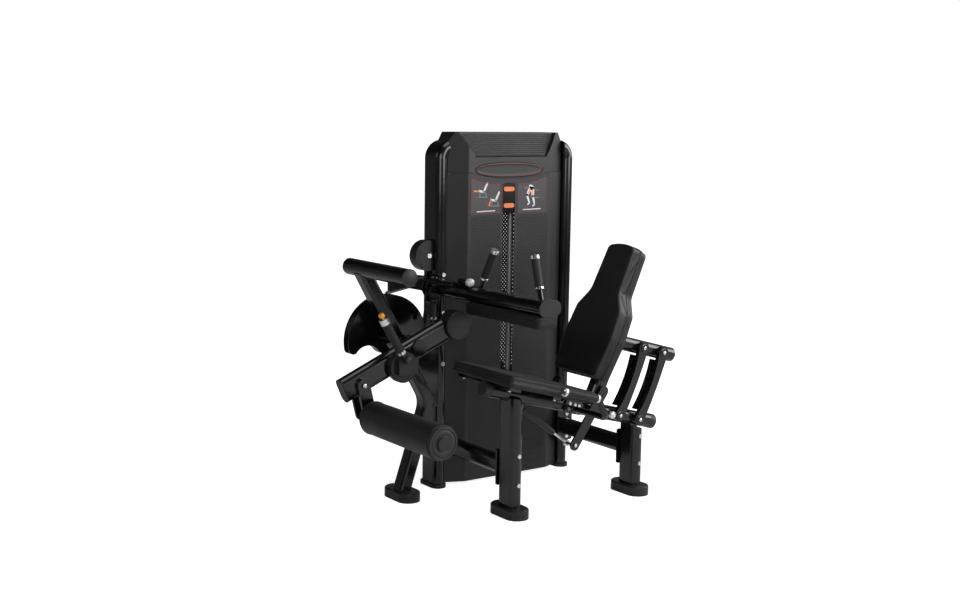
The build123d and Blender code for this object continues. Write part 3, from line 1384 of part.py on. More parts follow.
with BuildPart() as seat_grips:
    for sg in (-1, 1):
        with BuildSketch(Plane(origin=spt(57, 60, sg * H_Y), x_dir=(0, 1, 0), z_dir=(CI, 0, -SI))):
            Circle(16)
        extrude(amount=214 - 57)
    add(seat_handles.part, mode=Mode.SUBTRACT)
seat_grips.part.label = "seat_grips"
export_step(seat_grips.part, "parts/seat_grips.step")

# release lever: cross rod in the rail side with a hooked plate at its end
RL = (306.0, 31.0)
with BuildPart() as release_lever:
    with BuildSketch(SL(140)):
        with Locations(RL):
            Circle(6)
    extrude(amount=140 - 44)
    with BuildSketch(SL(134)):
        with BuildLine():
            l1 = Line((RL[0] - 13, RL[1]), (RL[0] - 10, RL[1] + 36))
            a1 = ThreePointArc(l1 @ 1, (RL[0] - 2, RL[1] + 62), (RL[0] + 16, RL[1] + 76))
            l2 = Line(a1 @ 1, (RL[0] + 34, RL[1] + 62))
            l3 = Line(l2 @ 1, (RL[0] + 26, RL[1] + 54))
            a2 = ThreePointArc(l3 @ 1, (RL[0] + 12, RL[1] + 56), (RL[0] + 12, RL[1] + 36))
            l4 = Line(a2 @ 1, (RL[0] + 13, RL[1]))
            a3 = ThreePointArc(l4 @ 1, (RL[0], RL[1] - 13), l1 @ 0)
        make_face()
    extrude(amount=5)
release_lever.part.label = "release_lever"
export_step(release_lever.part, "parts/release_lever.step")

# spring plunger on the rail beside the front link
with BuildPart() as pop_pin:
    with BuildSketch(SL(-24)):
        with Locations((494, -3)):
            Circle(6)
    extrude(amount=30)
    with BuildSketch(SL(-50)):
        with Locations((494, -3)):
            Circle(15)
    extrude(amount=14)
    fillet(pop_pin.edges().filter_by(GeomType.CIRCLE).sort_by(Axis.Y)[0], 4)
pop_pin.part.label = "pop_pin"
export_step(pop_pin.part, "parts/pop_pin.step")

with BuildPart() as pin_barrel:
    with BuildSketch(SL(-20)):
        with Locations((494, -3)):
            Circle(11)
    extrude(amount=20)
    add(rail_solid.part, mode=Mode.SUBTRACT)
    with BuildSketch(SL(-10)):
        with Locations((494, -3)):
            Circle(6 + RUN)
    extrude(amount=40, mode=Mode.SUBTRACT)

# bearing block of the release lever on the rail's far side
with BuildPart() as lever_block:
    with BuildSketch(SL(64)):
        with Locations((RL[0], 24)):
            RectangleRounded(34, 38, 6)
    extrude(amount=64 - 39.5)
    with BuildSketch(SL(64)):
        with Locations((RL[0] , 28)):
            Rectangle(30, 26)
    extrude(amount=64 - 20)
    with BuildSketch(SL(66)):
        with Locations(RL):
            Circle(6 + RUN)
    extrude(amount=66 - 43, mode=Mode.SUBTRACT)
    add(rail_solid.part, mode=Mode.SUBTRACT)
    add(seat_handles.part, mode=Mode.SUBTRACT)
    add(frame_bolts.part, mode=Mode.SUBTRACT)


with BuildPart() as seat_rail_bored:
    add(seat_rail.part)
    add(lever_block.part)
    with BuildSketch(SL(-20)):
        with Locations((494, -3)):
            Circle(6 + RUN)
    extrude(amount=20, mode=Mode.SUBTRACT)
    add(pin_barrel.part)
seat_rail_bored.part.label = "seat_rail"
export_step(seat_rail_bored.part, "parts/seat_rail.step")

# ===========================================================================
# Back carriage: two bowed links, upper tube, post, backrest
# ===========================================================================


WEB_Y0, WEB_Y1 = -18.0, 2.0    # stiffening web between the two tubes
WEB_GAP = 37.0                 # from a tube's axis to the web's end


def link_plate(px, pz, y, web):
    # one bowed link plate; the web is the same outline trimmed short of both tubes
    with BuildSketch(XZ(y)) as blank:
        with BuildLine():
            ThreePointArc((px - 17, pz + 17), (px + 61, pz + 145), (px + LINK_DX - 23, pz + LINK_DZ + 8))
            Line((px + LINK_DX - 23, pz + LINK_DZ + 8), (px + LINK_DX + 23, pz + LINK_DZ - 8))
            ThreePointArc((px + LINK_DX + 23, pz + LINK_DZ - 8), (px + 93, pz + 133), (px + 21, pz - 12))
            Line((px + 21, pz - 12), (px - 17, pz + 17))
        make_face()
        if web:
            with Locations((px, pz), (px + LINK_DX, pz + LINK_DZ)):
                Rectangle(400, 2 * WEB_GAP, rotation=-INCL, mode=Mode.SUBTRACT)
        else:
            with Locations((px, pz), (px + LINK_DX, pz + LINK_DZ)):
                Circle(25)
            with Locations((px, pz), (px + LINK_DX, pz + LINK_DZ)):
                Circle(PIVOT_R + RUN, mode=Mode.SUBTRACT)
    return blank


with BuildPart() as link_front:
    extrude(link_plate(*LOW1, -ARM_IN, False).sketch, amount=ARM_OUT - ARM_IN)
    extrude(link_plate(*LOW1, WEB_Y1, True).sketch, amount=WEB_Y1 - WEB_Y0)
    # spacers from the web to the plate
    with BuildSketch(XZ(WEB_Y0)):
        with Locations((LOW1[0] + 62, LOW1[1] + 95), (LOW1[0] + 92, LOW1[1] + 180)):
            Circle(9)
    extrude(amount=WEB_Y0 + ARM_IN)
link_front.part.label = "link_front"
export_step(link_front.part, "parts/link_front.step")

with BuildPart() as link_rear:
    extrude(link_plate(*LOW2, -ARM_IN, False).sketch, amount=ARM_OUT - ARM_IN)
    extrude(link_plate(*LOW2, WEB_Y1, True).sketch, amount=WEB_Y1 - WEB_Y0)
    with BuildSketch(XZ(WEB_Y0)):
        with Locations((LOW2[0] + 62, LOW2[1] + 95), (LOW2[0] + 92, LOW2[1] + 180)):
            Circle(9)
    extrude(amount=WEB_Y0 + ARM_IN)
    # the upper pivot of the rear link closes the linkage and has a little more play
    with BuildSketch(XZ(60)):
        with Locations(UPP2):
            Circle(PIVOT_R + 0.1)
    extrude(amount=120, mode=Mode.SUBTRACT)
link_rear.part.label = "link_rear"
export_step(link_rear.part, "parts/link_rear.step")

UT_R = 30.0
with BuildPart() as back_carrier:
    # upper tube, parallel to the rail
    up_axis = Plane(origin=pt(UPP1[0] - 112 * CI, 0, UPP1[1] + 112 * SI), x_dir=(0, 1, 0), z_dir=(CI, 0, -SI))
    with BuildSketch(up_axis):
        Circle(UT_R)
    extrude(amount=316)
    # back post behind the backrest, square to the pad's face plane
    with BuildSketch(Plane(origin=pt(451 - 66.5 * BS, 0, 500 - 66.5 * BC), x_dir=(0, 1, 0), z_dir=(BS, 0, BC))):
        SlotOverall(76, 60, rotation=90)
    extrude(amount=288)
    with BuildSketch(Plane(origin=pt(UPP1[0] - 60 * CI, 0, UPP1[1] + 60 * SI), x_dir=(0, 1, 0), z_dir=(CI, 0, -SI))):
        Circle(UT_R - WALL)
    extrude(amount=300, mode=Mode.SUBTRACT)
    # bosses and pins of the upper pivots
    with BuildSketch(XZ(ARM_IN - 0.1)):
        with Locations(UPP1, UPP2):
            Circle(19)
    extrude(amount=2 * ARM_IN - 0.2)
    with BuildSketch(XZ(ARM_IN + 1)):
        with Locations(UPP1, UPP2):
            Circle(PIVOT_R)
    extrude(amount=ARM_IN + ARM_OUT + 5)
    # drop plate to the gas spring, held by a cross tube
    for y1 in (-45.5,):
        with BuildSketch(XZ(y1)):
            with Locations(((GAS_END[0] + 432) / 2, (GAS_END[1] + 462) / 2)):
                SlotCenterToCenter(hypot(432 - GAS_END[0], 462 - GAS_END[1]), 44,
                                   rotation=degrees(atan2(462 - GAS_END[1], 432 - GAS_END[0])))
        extrude(amount=8)
    with BuildSketch(XZ(30)):
        with Locations((432, 462)):
            Circle(12)
    extrude(amount=83.5)
    with BuildSketch(XZ(12)):
        with Locations(GAS_END):
            Circle(5)
    extrude(amount=69.5)
    # mounting blocks for the backrest
    for v0 in (15, 150):
        with BuildSketch(BK(BACK_T + BACK_BOARD + 0.3)):
            with Locations((0, v0 + 20)):
                Rectangle(50, 40)
        extrude(amount=60)
    # the post is a tube, open at its foot
    with BuildSketch(Plane(origin=pt(451 - 68 * BS, 0, 500 - 68 * BC), x_dir=(0, 1, 0), z_dir=(BS, 0, BC))):
        SlotOverall(68, 52, rotation=90)
    extrude(amount=14, mode=Mode.SUBTRACT)
back_carrier.part.label = "back_carrier"
export_step(back_carrier.part, "parts/back_carrier.step")


def back_outline(grow):
    # tapered outline of the backrest, half widths up the pad
    h = [(-38, 134), (130, 149), (245, 138), (318, 90)]
    right = [(w + grow, v if v > 0 else v - grow) for v, w in h] + [(82 + grow, 519 + grow)]
    left = [(-x, v) for x, v in reversed(right)]
    FilletPolyline(*(right + [(0, 536 + grow)] + left), radius=(28, 60, 40, 60, 26, 240, 26, 60, 40, 60, 28), close=True)


with BuildPart() as backrest_pad:
    with BuildSketch(BK(0)):
        with BuildLine():
            back_outline(0)
        make_face()
    extrude(amount=BACK_T)
    fillet(backrest_pad.edges().group_by(Axis(origin=(0, 0, 0), direction=(BC, 0, -BS)))[0], 7)
backrest_pad.part.label = "backrest_pad"
export_step(backrest_pad.part, "parts/backrest_pad.step")

with BuildPart() as backrest_board:
    with BuildSketch(BK(BACK_T + 0.3)):
        with BuildLine():
            back_outline(-3)
        make_face()
    extrude(amount=BACK_BOARD)
backrest_board.part.label = "backrest_board"
export_step(backrest_board.part, "parts/backrest_board.step")

# gas spring between the rail and the drop plates
GL = hypot(GAS_END[0] - GAS_PIN[0], GAS_END[1] - GAS_PIN[1])
GD = ((GAS_END[0] - GAS_PIN[0]) / GL, (GAS_END[1] - GAS_PIN[1]) / GL)


def GS(t):
    return Plane(origin=pt(GAS_PIN[0] + t * GD[0], 0, GAS_PIN[1] + t * GD[1]), x_dir=(0, 1, 0), z_dir=(GD[0], 0, GD[1]))


with BuildPart() as gas_cylinder:
    with BuildSketch(GS(18)):
        Circle(11)
    extrude(amount=212 - 18)
    with BuildSketch(XZ(7)):
        with Locations(GAS_PIN):
            Circle(10)
    extrude(amount=14)
    with BuildSketch(GS(6)):
        Rectangle(14, 14)
    extrude(amount=13)
    with BuildSketch(XZ(10)):
        with Locations(GAS_PIN):
            Circle(5 + RUN)
    extrude(amount=20, mode=Mode.SUBTRACT)
    with BuildSketch(GS(60)):
        Circle(5 + RUN)
    extrude(amount=160, mode=Mode.SUBTRACT)
gas_cylinder.part.label = "gas_cylinder"
export_step(gas_cylinder.part, "parts/gas_cylinder.step")

with BuildPart() as gas_rod:
    with BuildSketch(GS(120)):
        Circle(5)
    extrude(amount=GL - 10 - 120)
    with BuildSketch(XZ(7)):
        with Locations(GAS_END):
            Circle(14)
            Circle(8, mode=Mode.SUBTRACT)
    extrude(amount=14)
gas_rod.part.label = "gas_rod"
export_step(gas_rod.part, "parts/gas_rod.step")
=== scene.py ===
import bpy, bmesh, math
import numpy as np
from mathutils import Vector, Matrix


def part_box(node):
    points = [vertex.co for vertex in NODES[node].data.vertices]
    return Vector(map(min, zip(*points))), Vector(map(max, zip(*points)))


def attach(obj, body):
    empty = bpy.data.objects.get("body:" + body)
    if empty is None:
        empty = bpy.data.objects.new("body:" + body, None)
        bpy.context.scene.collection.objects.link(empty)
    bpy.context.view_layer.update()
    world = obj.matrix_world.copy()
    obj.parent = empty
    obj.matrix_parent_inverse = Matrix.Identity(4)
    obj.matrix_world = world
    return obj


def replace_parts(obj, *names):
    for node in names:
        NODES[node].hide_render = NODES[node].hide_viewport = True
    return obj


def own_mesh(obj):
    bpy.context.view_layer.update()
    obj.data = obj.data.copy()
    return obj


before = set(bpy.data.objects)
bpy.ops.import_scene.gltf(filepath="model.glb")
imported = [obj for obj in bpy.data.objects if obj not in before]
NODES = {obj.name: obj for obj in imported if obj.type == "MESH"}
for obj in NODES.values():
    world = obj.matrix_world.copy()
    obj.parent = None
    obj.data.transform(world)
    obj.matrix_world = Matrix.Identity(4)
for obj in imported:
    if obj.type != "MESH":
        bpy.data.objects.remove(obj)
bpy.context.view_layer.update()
OX, OY = 121.309, 167.0        # layout origin to the part's origin, millimetres


def P(x, y, z):
    return Vector(((x - OX) / 1000.0, (y - OY) / 1000.0, z / 1000.0))


# ---------------------------------------------------------------- materials
def srgb(r, g, b):
    def f(c):
        c = c / 255.0
        return c / 12.92 if c <= 0.04045 else ((c + 0.055) / 1.055) ** 2.4
    return (f(r), f(g), f(b), 1.0)


class Mat:
    def __init__(self, name):
        self.m = bpy.data.materials.new(name)
        self.m.use_nodes = True
        self.nt = self.m.node_tree
        self.nt.nodes.clear()
        self.out = self.nt.nodes.new("ShaderNodeOutputMaterial")
        self.p = self.nt.nodes.new("ShaderNodeBsdfPrincipled")
        self.nt.links.new(self.p.outputs[0], self.out.inputs[0])
        self.tc = self.nt.nodes.new("ShaderNodeTexCoord")
        self.obj = self.tc.outputs["Object"]

    def link(self, a, b):
        self.nt.links.new(a, b)

    def set(self, **k):
        names = {"rough": "Roughness", "metal": "Metallic", "coat": "Coat Weight", "coat_rough": "Coat Roughness",
                 "spec": "Specular IOR Level", "ior": "IOR", "sheen": "Sheen Weight", "sheen_rough": "Sheen Roughness",
                 "aniso": "Anisotropic", "base": "Base Color"}
        for n, v in k.items():
            self.p.inputs[names[n]].default_value = v
        return self

    def noise(self, scale, detail=3.0, rough=0.55, vec=None, dist=0.0):
        n = self.nt.nodes.new("ShaderNodeTexNoise")
        n.inputs["Scale"].default_value = scale
        n.inputs["Detail"].default_value = detail
        n.inputs["Roughness"].default_value = rough
        n.inputs["Distortion"].default_value = dist
        self.link(vec or self.obj, n.inputs["Vector"])
        return n.outputs["Fac"]

    def voronoi(self, scale, feature="F1", vec=None, smooth=None):
        n = self.nt.nodes.new("ShaderNodeTexVoronoi")
        n.feature = feature
        n.inputs["Scale"].default_value = scale
        self.link(vec or self.obj, n.inputs["Vector"])
        return n.outputs["Distance"]

    def math(self, op, a, b=None, c=None):
        n = self.nt.nodes.new("ShaderNodeMath")
        n.operation = op
        for i, v in enumerate((a, b, c)):
            if v is None:
                continue
            if isinstance(v, (int, float)):
                n.inputs[i].default_value = v
            else:
                self.link(v, n.inputs[i])
        return n.outputs[0]

    def ramp(self, fac, stops):
        n = self.nt.nodes.new("ShaderNodeValToRGB")
        e = n.color_ramp.elements
        while len(e) > len(stops):
            e.remove(e[-1])
        while len(e) < len(stops):
            e.new(0.5)
        for i, (pos, col) in enumerate(stops):
            e[i].position = pos
            e[i].color = col if len(col) == 4 else (*col, 1.0)
        self.link(fac, n.inputs[0])
        return n.outputs[0]

    def mix(self, fac, a, b):
        n = self.nt.nodes.new("ShaderNodeMix")
        n.data_type = "RGBA"
        if isinstance(fac, (int, float)):
            n.inputs[0].default_value = fac
        else:
            self.link(fac, n.inputs[0])
        for s, v in ((6, a), (7, b)):
            if isinstance(v, tuple):
                n.inputs[s].default_value = v
            else:
                self.link(v, n.inputs[s])
        return n.outputs[2]

    def range(self, fac, lo, hi, f0=0.0, f1=1.0):
        n = self.nt.nodes.new("ShaderNodeMapRange")
        n.inputs[1].default_value, n.inputs[2].default_value = f0, f1
        n.inputs[3].default_value, n.inputs[4].default_value = lo, hi
        self.link(fac, n.inputs[0])
        return n.outputs[0]

    def xyz(self, vec=None):
        n = self.nt.nodes.new("ShaderNodeSeparateXYZ")
        self.link(vec or self.obj, n.inputs[0])
        return n.outputs[0], n.outputs[1], n.outputs[2]

    def combine(self, x, y, z):
        n = self.nt.nodes.new("ShaderNodeCombineXYZ")
        for i, v in enumerate((x, y, z)):
            if isinstance(v, (int, float)):
                n.inputs[i].default_value = v
            else:
                self.link(v, n.inputs[i])
        return n.outputs[0]

    def scale_vec(self, sx, sy, sz):
        n = self.nt.nodes.new("ShaderNodeMapping")
        n.inputs["Scale"].default_value = (sx, sy, sz)
        self.link(self.obj, n.inputs["Vector"])
        return n.outputs[0]

    def bump(self, height, strength, dist, normal=None):
        n = self.nt.nodes.new("ShaderNodeBump")
        n.inputs["Strength"].default_value = strength
        n.inputs["Distance"].default_value = dist
        self.link(height, n.inputs["Height"])
        if normal is not None:
            self.link(normal, n.inputs["Normal"])
        return n.outputs[0]

    def bevel(self, radius, samples=4):
        n = self.nt.nodes.new("ShaderNodeBevel")
        n.samples = samples
        n.inputs["Radius"].default_value = radius
        return n.outputs[0]

    def color(self, c):
        self.link(c, self.p.inputs["Base Color"])
        return self

    def rough(self, r):
        self.link(r, self.p.inputs["Roughness"])
        return self

    def normal(self, n):
        self.link(n, self.p.inputs["Normal"])
        return self


def powder(name, lo, hi, rough=(0.12, 0.2), coat=0.3, peel=0.03, bevel=0.0012):
    # gloss powder coat: orange peel, faint dust and handling marks, rounded edges
    m = Mat(name)
    big = m.noise(5.0, 4.0)
    fine = m.noise(90.0, 3.0)
    dust = m.noise(420.0, 2.0)
    c = m.mix(m.range(big, 0.0, 1.0, 0.35, 0.65), (*lo, 1.0), (*hi, 1.0))
    c = m.mix(m.range(dust, 0.0, 0.10, 0.64, 0.78), c, (0.02, 0.02, 0.021, 1.0))
    m.color(c)
    m.rough(m.range(m.math("ADD", m.math("MULTIPLY", big, 0.6), m.math("MULTIPLY", fine, 0.4)), rough[0], rough[1], 0.35, 0.65))
    m.set(coat=coat, coat_rough=0.06, spec=0.5)
    base = m.bevel(bevel) if bevel else None
    m.normal(m.bump(m.noise(520.0, 2.0, 0.4), peel, 0.0005, base))
    return m.m


def plastic(name, lo, hi, rough=(0.4, 0.52), grain=1500.0, depth=0.25, bevel=0.0008, spec=0.45):
    # moulded plastic: spark-eroded grain, slow tone drift
    m = Mat(name)
    big = m.noise(3.5, 4.0)
    g = m.noise(grain, 2.0, 0.6)
    m.color(m.mix(m.math("ADD", m.range(big, 0.0, 0.7, 0.35, 0.65), m.range(g, 0.0, 0.3, 0.4, 0.6)), (*lo, 1.0), (*hi, 1.0)))
    m.rough(m.range(big, rough[0], rough[1], 0.35, 0.65))
    m.set(spec=spec)
    base = m.bevel(bevel) if bevel else None
    m.normal(m.bump(m.math("ADD", m.math("MULTIPLY", g, 0.7), m.math("MULTIPLY", m.voronoi(grain * 0.45), 0.5)), depth, 0.0004, base))
    return m.m


def vinyl(name, lo, hi, rough=(0.38, 0.52)):
    # upholstery vinyl: pebbled grain with fine creases between the pebbles, the creases darkened in colour as painted
    # shade
    m = Mat(name)
    warp = m.noise(60.0, 2.0)
    cells = m.voronoi(520.0, "F1")
    edge = m.voronoi(520.0, "DISTANCE_TO_EDGE")
    pores = m.noise(1900.0, 2.0)
    big = m.noise(7.0, 3.0)
    crease = m.range(edge, 1.0, 0.0, 0.0, 0.09)
    c = m.mix(m.range(big, 0.0, 1.0, 0.35, 0.65), (*lo, 1.0), (*hi, 1.0))
    # painted shade: the colour is darkened inside the creases
    c = m.mix(m.math("MULTIPLY", crease, 0.55), c, (lo[0] * 0.4, lo[1] * 0.4, lo[2] * 0.4, 1.0))
    m.color(c)
    m.rough(m.math("ADD", m.range(big, rough[0], rough[1], 0.35, 0.65), m.math("MULTIPLY", crease, 0.12)))
    m.set(spec=0.42, sheen=0.06, sheen_rough=0.4)
    h = m.math("SUBTRACT", m.math("MULTIPLY", cells, -0.8), m.math("MULTIPLY", crease, 0.7))
    h = m.math("ADD", h, m.math("MULTIPLY", pores, 0.35))
    m.normal(m.bump(h, 0.32, 0.0004, m.bump(warp, 0.08, 0.002)))
    return m.m


def metal(name, base, rough=(0.08, 0.16), brush=None, spots=0.0, bevel=0.0006):
    m = Mat(name)
    big = m.noise(14.0, 4.0)
    dark = tuple(v * 0.82 for v in base)
    m.color(m.mix(m.range(big, 0.0, 1.0, 0.35, 0.65), (*dark, 1.0), (*base, 1.0)))
    if brush:
        st = m.noise(260.0, 3.0, 0.6, m.scale_vec(*brush))
        m.rough(m.range(st, rough[0], rough[1], 0.3, 0.7))
        h = st
    else:
        f = m.noise(160.0, 3.0)
        m.rough(m.range(f, rough[0], rough[1], 0.3, 0.7))
        h = f
    m.set(metal=1.0)
    m.normal(m.bump(h, 0.05, 0.0003, m.bevel(bevel) if bevel else None))
    return m.m


def rubber(name, lo, hi, rough=(0.55, 0.7), ribs=None):
    m = Mat(name)
    g = m.noise(900.0, 3.0)
    big = m.noise(18.0, 3.0)
    c = m.mix(m.range(big, 0.0, 1.0, 0.35, 0.65), (*lo, 1.0), (*hi, 1.0))
    h = m.math("MULTIPLY", g, 0.5)
    if ribs:
        v = m.voronoi(ribs, "DISTANCE_TO_EDGE")
        groove = m.range(v, 1.0, 0.0, 0.0, 0.12)
        # painted shade: the colour is darkened inside the rib grooves
        c = m.mix(m.math("MULTIPLY", groove, 0.6), c, (0.006, 0.006, 0.006, 1.0))
        h = m.math("SUBTRACT", h, groove)
    m.color(c)
    m.rough(m.range(g, rough[0], rough[1], 0.3, 0.7))
    m.set(spec=0.35)
    m.normal(m.bump(h, 0.35, 0.0005))
    return m.m


def paint(name, col, rough=0.4, var=0.08, metallic=0.0):
    # printed or moulded-in colour with faint print mottle
    m = Mat(name)
    n = m.noise(240.0, 3.0)
    d = tuple(max(0.0, v * (1 - var)) for v in col[:3])
    m.color(m.mix(m.range(n, 0.0, 1.0, 0.3, 0.7), (*d, 1.0), (*col[:3], 1.0)))
    m.rough(m.range(n, rough - 0.05, rough + 0.07, 0.3, 0.7))
    m.set(metal=metallic)
    m.normal(m.bump(n, 0.04, 0.0002))
    return m.m


def cover_mat(name):
    # moulded front sheet: grain, and staggered perforation dimples on the middle facet, coloured near black as painted
    # shade in the holes
    m = Mat(name)
    x, y, z = m.xyz()
    big = m.noise(2.4, 4.0)
    g = m.noise(1700.0, 2.0, 0.6)
    base = m.mix(m.math("ADD", m.range(big, 0.0, 0.7, 0.35, 0.65), m.range(g, 0.0, 0.3, 0.4, 0.6)), (0.0135, 0.0135, 0.0142, 1.0), (0.018, 0.018, 0.0187, 1.0))
    px, pz = 0.0115, 0.0125
    def lattice(ox, oz):
        fx = m.math("SUBTRACT", m.math("FRACT", m.math("ADD", m.math("DIVIDE", x, px), 40.0 + ox)), 0.5)
        fz = m.math("SUBTRACT", m.math("FRACT", m.math("ADD", m.math("DIVIDE", z, pz), 40.0 + oz)), 0.5)
        dx, dz = m.math("MULTIPLY", fx, px), m.math("MULTIPLY", fz, pz)
        return m.math("SQRT", m.math("ADD", m.math("MULTIPLY", dx, dx), m.math("MULTIPLY", dz, dz)))
    d = m.math("MINIMUM", lattice(0.0, 0.0), lattice(0.5, 0.5))
    hole = m.range(d, 1.0, 0.0, 0.0026, 0.0031)
    def box(x0, x1, z0, z1):
        a = m.math("MULTIPLY", m.math("GREATER_THAN", x, (x0 - OX) / 1000), m.math("LESS_THAN", x, (x1 - OX) / 1000))
        b = m.math("MULTIPLY", m.math("GREATER_THAN", z, z0 / 1000), m.math("LESS_THAN", z, z1 / 1000))
        return m.math("MULTIPLY", a, b)
    front = m.math("LESS_THAN", y, (456.5 - OY) / 1000)
    field = m.math("MULTIPLY", m.math("MAXIMUM", box(113, 266, 110, 1150), box(352, 522, 110, 1150)), front)
    hole = m.math("MULTIPLY", hole, field)
    # painted shade: the dimples are coloured near black to stand in for the dark inside of holes
    m.color(m.mix(hole, base, (0.004, 0.004, 0.004, 1.0)))
    m.rough(m.math("ADD", m.range(big, 0.36, 0.44, 0.35, 0.65), m.math("MULTIPLY", hole, 0.4)))
    m.set(spec=0.42)
    h = m.math("SUBTRACT", m.math("MULTIPLY", g, 0.12), m.math("MULTIPLY", hole, 2.0))
    m.normal(m.bump(h, 0.5, 0.0006, m.bevel(0.0008)))
    return m.m


M = {
    "frame_black": powder("powder_black", (0.0026, 0.0026, 0.0028), (0.0045, 0.0045, 0.0047)),
    "frame_dark": powder("powder_dark", (0.0016, 0.0016, 0.0017), (0.003, 0.003, 0.0031), coat=0.15),
    "cover_grey": cover_mat("cover_sheet"),
    # dark plastic sheet, set near black so its inside reads as the tower's shade through the slot: partly painted shade
    "rear_grey": plastic("rear_sheet", (0.007, 0.007, 0.0073), (0.011, 0.011, 0.0115)),
    "hood_grey": plastic("hood_plastic", (0.0108, 0.0108, 0.0114), (0.0145, 0.0145, 0.0151), rough=(0.36, 0.44)),
    "rib_grey": plastic("rib_plastic", (0.013, 0.013, 0.0137), (0.018, 0.018, 0.0187), grain=1800.0),
    "black_plastic": plastic("black_plastic", (0.007, 0.007, 0.0073), (0.012, 0.012, 0.0125), rough=(0.26, 0.36)),
    "cap_plastic": plastic("cap_plastic", (0.018, 0.018, 0.019), (0.025, 0.025, 0.026), rough=(0.42, 0.5), grain=1100.0, depth=0.4),
    "cap_dark": plastic("cap_dark", (0.0115, 0.0115, 0.012), (0.0165, 0.0165, 0.017), rough=(0.42, 0.5), grain=1100.0, depth=0.4),
    "window_black": plastic("window_black", (0.0008, 0.0008, 0.0009), (0.0016, 0.0016, 0.0017), rough=(0.14, 0.2), depth=0.03, spec=0.22),
    "orange": paint("marker_orange", (0.93, 0.21, 0.03), 0.28),
    "button": paint("button_amber", (0.95, 0.42, 0.02), 0.25),
    "vinyl": vinyl("vinyl_black", (0.0048, 0.0048, 0.005), (0.0075, 0.0075, 0.0078)),
    "piping": vinyl("vinyl_piping", (0.006, 0.006, 0.0063), (0.009, 0.009, 0.0093), rough=(0.3, 0.4)),
    "thread": paint("thread_black", (0.018, 0.018, 0.019), 0.6, 0.3),
    "board": plastic("board_black", (0.012, 0.0115, 0.011), (0.020, 0.019, 0.018), rough=(0.5, 0.62), grain=500.0),
    "chrome": metal("chrome", (0.95, 0.95, 0.96), rough=(0.16, 0.26)),
    "rod": paint("rod_satin", (0.60, 0.60, 0.61), 0.3, 0.08, 0.35),
    "knob": paint("knob_satin", (0.80, 0.80, 0.81), 0.22, 0.05, 0.4),
    "zinc": metal("zinc", (0.90, 0.90, 0.91), rough=(0.24, 0.36)),
    "steel": metal("turned_steel", (0.62, 0.63, 0.65), rough=(0.16, 0.34), brush=(1.0, 12.0, 1.0)),
    "grip": rubber("grip_rubber", (0.014, 0.014, 0.0145), (0.020, 0.020, 0.021), rough=(0.45, 0.58), ribs=900.0),
    "rubber": rubber("foot_rubber", (0.017, 0.017, 0.0178), (0.025, 0.025, 0.026), rough=(0.3, 0.4)),
    "belt": rubber("belt_rubber", (0.010, 0.010, 0.010), (0.018, 0.018, 0.018), ribs=700.0),
    "plates": powder("plate_paint", (0.010, 0.010, 0.0105), (0.018, 0.018, 0.019), rough=(0.4, 0.6), coat=0.05, peel=0.35),
    "disc": plastic("disc_paint", (0.012, 0.012, 0.0125), (0.017, 0.017, 0.0175), rough=(0.38, 0.48), grain=900.0, depth=0.3),
    "line_red": paint("line_red", (0.30, 0.035, 0.04), 0.45),
    "white": paint("print_white", (0.80, 0.80, 0.80), 0.45),
    "print_orange": paint("print_orange", (0.88, 0.25, 0.05), 0.45),
    "print_grey": paint("print_grey", (0.25, 0.25, 0.26), 0.45),
}
NODE_MAT = {
    "back_carrier": "frame_black", "backrest_board": "board", "backrest_pad": "vinyl", "beam_grips": "grip", "beam_handles": "frame_black",
    "beam_hinge": "frame_dark", "beam_knob": "knob", "belt_drop": "belt", "belt_run": "belt", "cam": "frame_dark",
    "counterweight": "disc", "drive_shaft": "frame_dark", "feet": "rubber", "floor_beams": "frame_black", "frame_bolts": "zinc",
    "front_cover": "cover_grey", "gas_cylinder": "black_plastic", "gas_rod": "chrome", "guard_housing": "black_plastic",
    "guard_pulley": "black_plastic", "guide_rods": "rod", "hood": "hood_grey", "knee_frame": "frame_black", "lever_bar": "frame_black",
    "lifted_plates": "plates", "link_front": "frame_black", "link_pins": "frame_black", "link_rear": "frame_black", "lock_handle": "grip",
    "lock_housing": "disc", "lock_pin": "steel", "pop_pin": "knob", "pulley_bolts": "zinc", "rail_plugs": "cap_plastic",
    "range_markers": "orange", "rear_cover": "rear_grey", "release_lever": "frame_black", "resting_plates": "plates",
    "roller_arm": "frame_black", "roller_core": "black_plastic", "roller_pad": "vinyl", "seat_board": "board", "seat_grips": "grip",
    "seat_handles": "frame_black", "seat_legs": "frame_black", "seat_pad": "vinyl", "seat_rail": "frame_black", "selector_pin": "steel",
    "selector_stem": "steel", "stack_bumpers": "rubber", "start_button": "button", "start_grip": "grip", "start_handle": "frame_black",
    "stop_bracket": "frame_black", "thigh_beam": "frame_black", "thigh_pad": "vinyl", "top_pulley_left": "black_plastic",
    "top_pulley_right": "black_plastic", "tower_frame": "frame_black", "window_block": "window_black"}
for n, o in NODES.items():
    o.data.materials.clear()
    o.data.materials.append(M[NODE_MAT[n]])


# ---------------------------------------------------------------- mesh helpers
def make(name, verts, faces, mat, body, smooth=True, angle=35.0):
    me = bpy.data.meshes.new(name)
    me.from_pydata([tuple(v) for v in verts], [], faces)
    me.validate()
    bm = bmesh.new()
    bm.from_mesh(me)
    bmesh.ops.recalc_face_normals(bm, faces=bm.faces)
    bm.to_mesh(me)
    bm.free()
    o = bpy.data.objects.new(name, me)
    bpy.context.scene.collection.objects.link(o)
    me.materials.append(M[mat] if isinstance(mat, str) else mat)
    if smooth:
        me.shade_smooth()
        me.set_sharp_from_angle(angle=math.radians(angle))
    if body:
        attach(o, body)
    return o


